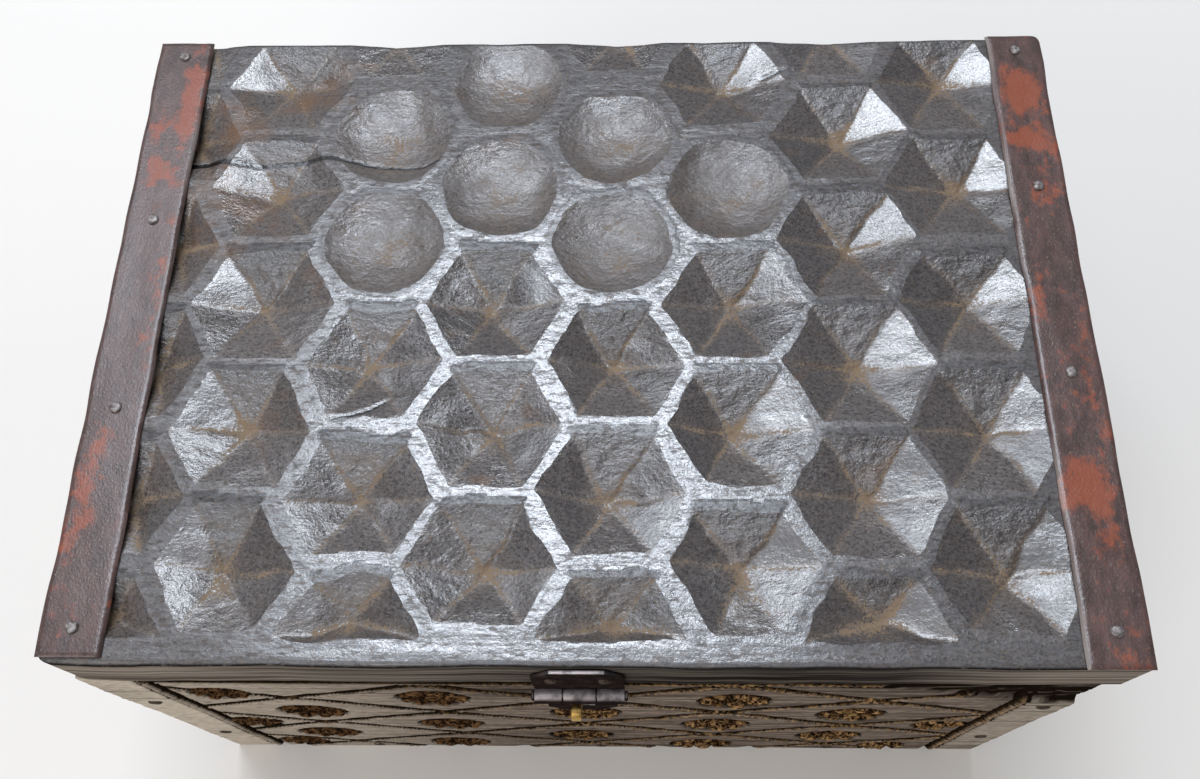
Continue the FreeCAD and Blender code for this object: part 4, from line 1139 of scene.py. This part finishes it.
def nail(points, head_height, dice):
    """A hand-made nail in the place of one CAD nail: points and faces."""
    low, high = points.min(0), points.max(0)
    middle = (low + high) / 2
    axis = int(np.argmax(high - low))
    sides = [k for k in range(3) if k != axis]
    spread = np.hypot(*(points[:, sides] - middle[sides]).T)
    radius = spread.max()
    upward = points[spread > 0.9 * radius][:, axis].mean() > middle[axis]
    tip, top = (low[axis], high[axis]) if upward else (high[axis], low[axis])
    head = head_height if upward else -head_height
    turns = np.linspace(0, 2 * math.pi, NAIL_SIDES, endpoint=False)
    oval = 0.05 * (0.5 + 0.5 * np.cos(2 * turns + dice.random() * 6))
    uneven = 1 - oval - 0.03 * dice.random(NAIL_SIDES)
    rings = [(share, top - head + rise * head) for share, rise in NAIL_HEAD]
    rings += [(NAIL_TAPER[0], tip + NAIL_TAPER[1] * (top - tip)), (NAIL_TIP, tip)]
    shares, levels = np.array(rings).T
    places = np.tile(middle, (1 + len(rings) * NAIL_SIDES, 1))
    places[0, axis] = top - head + NAIL_CROWN * head
    places[1:, axis] = np.repeat(levels, NAIL_SIDES)
    reach = radius * np.outer(shares, uneven)
    places[1:, sides[0]] += (reach * np.cos(turns)).ravel()
    places[1:, sides[1]] += (reach * np.sin(turns)).ravel()
    faces = []
    for k in range(NAIL_SIDES):
        after = (k + 1) % NAIL_SIDES
        faces.append([0, 1 + k, 1 + after])
        for start in range(1, 1 + (len(rings) - 1) * NAIL_SIDES, NAIL_SIDES):
            below = start + NAIL_SIDES
            faces.append([start + k, below + k, below + after, start + after])
    faces.append(list(reversed(range(len(places) - NAIL_SIDES, len(places)))))
    if upward == (axis == 1):
        faces = [face[::-1] for face in faces]
    return places, faces


def nail_piece(node, body, looks, material, seed):
    """One group of nails; those in the box and the hasp are rusty."""
    dice = np.random.default_rng(seed)
    places, faces = [], []
    for points in solids_of(node):
        more_places, more_faces = nail(points, looks.head_height, dice)
        start = len(places)
        places.extend(more_places)
        faces += [[start + k for k in face] for face in more_faces]
    piece = new_piece(node + "_made", places, faces, material)
    mark(piece, "rust", np.full(len(places), body == "box" or node == "hasp_nails"))
    settle(piece, body, node)


WELD = 1e-6  # points nearer to each other than this, in metres, become one
FLAT_ANGLE = math.radians(0.5)  # faces that meet flatter than this become one
RUBBED_ANGLE = math.radians(35)  # edges sharper than this are rubbed round


def softened(node, body, material, width):
    """The CAD node's own shape with its edges rubbed round."""
    shape = bmesh.new()
    shape.from_mesh(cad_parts[node].data)
    bmesh.ops.remove_doubles(shape, verts=shape.verts, dist=WELD)
    bmesh.ops.dissolve_limit(shape, angle_limit=FLAT_ANGLE, verts=shape.verts, edges=shape.edges)
    sharp = [
        edge
        for edge in shape.edges
        if len(edge.link_faces) == 2 and edge.calc_face_angle() > RUBBED_ANGLE
    ]
    rounding = {"offset": width, "segments": 2, "profile": 0.6, "clamp_overlap": True}
    bmesh.ops.bevel(shape, geom=sharp, affect="EDGES", **rounding)
    mesh = bpy.data.meshes.new(node + "_made")
    shape.to_mesh(mesh)
    shape.free()
    piece = show(mesh, material)
    # the faces that turn up are marked for the pale colour: rubbing and a painted highlight
    upward = np.array([vertex.normal.z for vertex in mesh.vertices])
    mark(piece, "rubbed", step(0.55, 0.95, upward))
    settle(piece, body, node)


class STORAGEBOX_OT_lid(bpy.types.Operator):
    """Carve the lid plank with its pits, bowls and cracks"""

    bl_idname = "storagebox.lid"
    bl_label = "Carve Lid"

    def execute(self, context):
        looks = context.scene.box_lid
        board = Board("lid_plank", X_AXIS, Y_AXIS, looks.spacing, 1)
        carve_lid(board, looks)
        board.wear_edges(looks.edge_wear / MM)
        board.round_corner((-1, -1), looks.front_corner / MM)
        board.round_corner((1, 1), looks.back_corner / MM)
        board.round_edges(looks.edge_round / MM)
        levels = (0.05, 0.95, 1.0)
        board.build("carved_lid", levels, "lid", lid_wood(looks))
        return {"FINISHED"}


class STORAGEBOX_OT_front(bpy.types.Operator):
    """Carve the front board with its lattice and flowers"""

    bl_idname = "storagebox.front"
    bl_label = "Carve Front"

    def execute(self, context):
        looks = context.scene.box_front
        board = Board("front_panel", X_AXIS, Z_AXIS, looks.spacing, 2)
        carve_front(board, looks)
        board.wear_edges(looks.edge_wear / MM)
        board.round_edges(looks.edge_round / MM)
        levels = (0.05, 0.5, 0.95, 1.0)
        board.build("carved_front", levels, "box", front_wood(looks))
        return {"FINISHED"}


class STORAGEBOX_OT_boards(bpy.types.Operator):
    """Make the plain back, ends and bottom"""

    bl_idname = "storagebox.boards"
    bl_label = "Plain Boards"

    def execute(self, context):
        looks = context.scene.box_boards
        material = plain_wood(looks)
        faces = (
            ("back_panel", -X_AXIS, Z_AXIS, 3),
            ("left_panel", -Y_AXIS, Z_AXIS, 4),
            ("right_panel", Y_AXIS, Z_AXIS, 5),
            ("bottom_board", X_AXIS, Y_AXIS, 6),
        )
        levels = (0.06, 0.5, 0.94, 1.0)
        for node, across, up, seed in faces:
            board = Board(node, across, up, looks.spacing, seed)
            planed = board.noise(40, 5, 1)
            scars = np.clip(board.noise(18, 1.2, 2) - 1.2, 0, 2)
            face = PLAIN_LEVEL + 0.08 * planed - 0.12 * scars
            board.height = np.minimum(face, PLAIN_TOP)
            board.wear_edges(looks.edge_wear / MM)
            board.round_edges(looks.edge_round / MM)
            board.build(node + "_made", levels, "box", material)
        return {"FINISHED"}


class STORAGEBOX_OT_strips(bpy.types.Operator):
    """Beat out the two iron strips on the lid's ends"""

    bl_idname = "storagebox.strips"
    bl_label = "Iron Strips"

    def execute(self, context):
        looks = context.scene.box_iron
        material = strip_iron(looks)
        for node, seed in (("left_edge_strip", 7), ("right_edge_strip", 8)):
            board = Board(node, X_AXIS, Y_AXIS, looks.spacing, seed)
            hammer_strip(board, looks)
            board.wear_edges(looks.strip_wear / MM, reach=4.0)
            if node == "right_edge_strip":
                board.round_corner((1, 1), looks.strip_corner / MM)
            levels = (0.5, 1.0)
            board.build(node + "_made", levels, "lid", material, back_inset=0.1)
        return {"FINISHED"}


class STORAGEBOX_OT_nails(bpy.types.Operator):
    """Drive the nails of the strips, hinges, hasp and boards"""

    bl_idname = "storagebox.nails"
    bl_label = "Nails"

    def execute(self, context):
        looks = context.scene.box_iron
        material = nail_iron(looks)
        groups = (
            ("left_strip_nails", "lid"),
            ("right_strip_nails", "lid"),
            ("hasp_nails", "lid"),
            ("hinge_lid_nails", "lid"),
            ("hinge_body_nails", "box"),
            ("front_corner_nails", "box"),
            ("back_corner_nails", "box"),
            ("bottom_nails", "box"),
        )
        for seed, (node, body) in enumerate(groups):
            nail_piece(node, body, looks, material, seed)
        return {"FINISHED"}


class STORAGEBOX_OT_hinges(bpy.types.Operator):
    """Make the two back hinges, the hasp and their pins"""

    bl_idname = "storagebox.hinges"
    bl_label = "Hinges and Hasp"

    def execute(self, context):
        looks = context.scene.box_iron
        material = hinge_iron(looks)
        bodies = {"hasp_lid_leaf": "lid", "hasp_pin": "lid", "hasp_strap": "hasp"}
        for side in ("left", "right"):
            bodies[side + "_hinge_lid_leaf"] = "lid"
            bodies[side + "_hinge_body_leaf"] = "box"
            bodies[side + "_hinge_pin"] = "box"
        for node, body in bodies.items():
            softened(node, body, material, looks.edge)
        return {"FINISHED"}


class STORAGEBOX_OT_staple(bpy.types.Operator):
    """Make the brass staple"""

    bl_idname = "storagebox.staple"
    bl_label = "Brass Staple"

    def execute(self, context):
        looks = context.scene.box_iron
        softened("brass_staple", "box", old_brass(looks), looks.edge)
        return {"FINISHED"}


def room(looks):
    """Light from all around, brighter towards the back and the left."""
    world = bpy.data.worlds.new("room")
    f = Nodes(world)
    away = f.add("ShaderNodeTexCoord").outputs["Generated"]
    side = f.add("ShaderNodeVectorMath", {0: away, 1: looks.bright_side}, operation="DOT_PRODUCT")
    level = f.scaled(side.outputs["Value"], -0.6, 1.0, looks.room_dark, looks.room_bright)
    background = f.tree.nodes["Background"]
    f.put(background, "Color", looks.cool)
    f.put(background, "Strength", level)
    return world


def hang(name, looks, role, tint):
    """A flat soft light turned to the box; role is the start of its settings' names."""
    lamp = bpy.data.lights.new(name, "AREA")
    lamp.shape = "RECTANGLE"
    lamp.size, lamp.size_y = getattr(looks, role + "_size")
    lamp.energy = getattr(looks, role + "_power")
    lamp.color = tint
    light = bpy.data.objects.new(name, lamp)
    light.location = getattr(looks, role + "_place")
    aim = Vector(looks.aim) - light.location
    light.rotation_euler = aim.to_track_quat("-Z", "Y").to_euler()
    bpy.context.scene.collection.objects.link(light)


def stand_camera(looks):
    """The camera at the photograph's angle."""
    lens = bpy.data.cameras.new("camera")
    lens.sensor_fit = "HORIZONTAL"
    lens.sensor_width = looks.sensor
    lens.lens = looks.focal
    lens.clip_start = 0.01
    camera = bpy.data.objects.new("camera", lens)
    camera.location = looks.camera_place
    camera.rotation_euler = looks.camera_turn
    bpy.context.scene.collection.objects.link(camera)
    bpy.context.scene.camera = camera


class STORAGEBOX_OT_stage(bpy.types.Operator):
    """Set the floor, the light and the camera"""

    bl_idname = "storagebox.stage"
    bl_label = "Stage"

    def execute(self, context):
        looks = context.scene.box_stage
        context.scene.view_settings.view_transform = "Standard"
        half = looks.floor_half
        corners = [(-half, -half, 0), (half, -half, 0), (half, half, 0), (-half, half, 0)]
        floor = new_piece("floor", corners, [[0, 1, 2, 3]], pale_floor(looks))
        context.scene.world = room(looks)
        hang("window", looks, "key", looks.cool)
        hang("side_window", looks, "side", looks.cool)
        hang("ceiling", looks, "sky", looks.cool)
        hang("front", looks, "fill", looks.mild)
        stand_camera(looks)
        return {"FINISHED"}


class STORAGEBOX_PT_panel(bpy.types.Panel):
    """Sidebar panel that lists the steps of the box"""

    bl_idname = "STORAGEBOX_PT_panel"
    bl_label = "Storage Box"
    bl_space_type = "VIEW_3D"
    bl_region_type = "UI"
    bl_category = "Storage Box"

    def draw(self, context):
        for operator in OPERATORS:
            self.layout.operator(operator.bl_idname)


GROUPS = {
    "box_lid": LidLooks,
    "box_front": FrontLooks,
    "box_boards": BoardLooks,
    "box_iron": IronLooks,
    "box_stage": StageLooks,
}
OPERATORS = (
    STORAGEBOX_OT_lid,
    STORAGEBOX_OT_front,
    STORAGEBOX_OT_boards,
    STORAGEBOX_OT_strips,
    STORAGEBOX_OT_nails,
    STORAGEBOX_OT_hinges,
    STORAGEBOX_OT_staple,
    STORAGEBOX_OT_stage,
)


def register():
    """Adds the groups, the steps and the panel."""
    for name, group in GROUPS.items():
        bpy.utils.register_class(group)
        setattr(bpy.types.Scene, name, PointerProperty(type=group))
    for operator in OPERATORS:
        bpy.utils.register_class(operator)
    bpy.utils.register_class(STORAGEBOX_PT_panel)


def unregister():
    """Takes them away again."""
    bpy.utils.unregister_class(STORAGEBOX_PT_panel)
    for operator in reversed(OPERATORS):
        bpy.utils.unregister_class(operator)
    for name, group in reversed(GROUPS.items()):
        delattr(bpy.types.Scene, name)
        bpy.utils.unregister_class(group)


def main():
    """Builds the box."""
    register()
    bpy.ops.storagebox.lid()
    bpy.ops.storagebox.front()
    bpy.ops.storagebox.boards()
    bpy.ops.storagebox.strips()
    bpy.ops.storagebox.nails()
    bpy.ops.storagebox.hinges()
    bpy.ops.storagebox.staple()
    bpy.ops.storagebox.stage()
    bpy.context.view_layer.update()


if __name__ == "__main__":
    main()
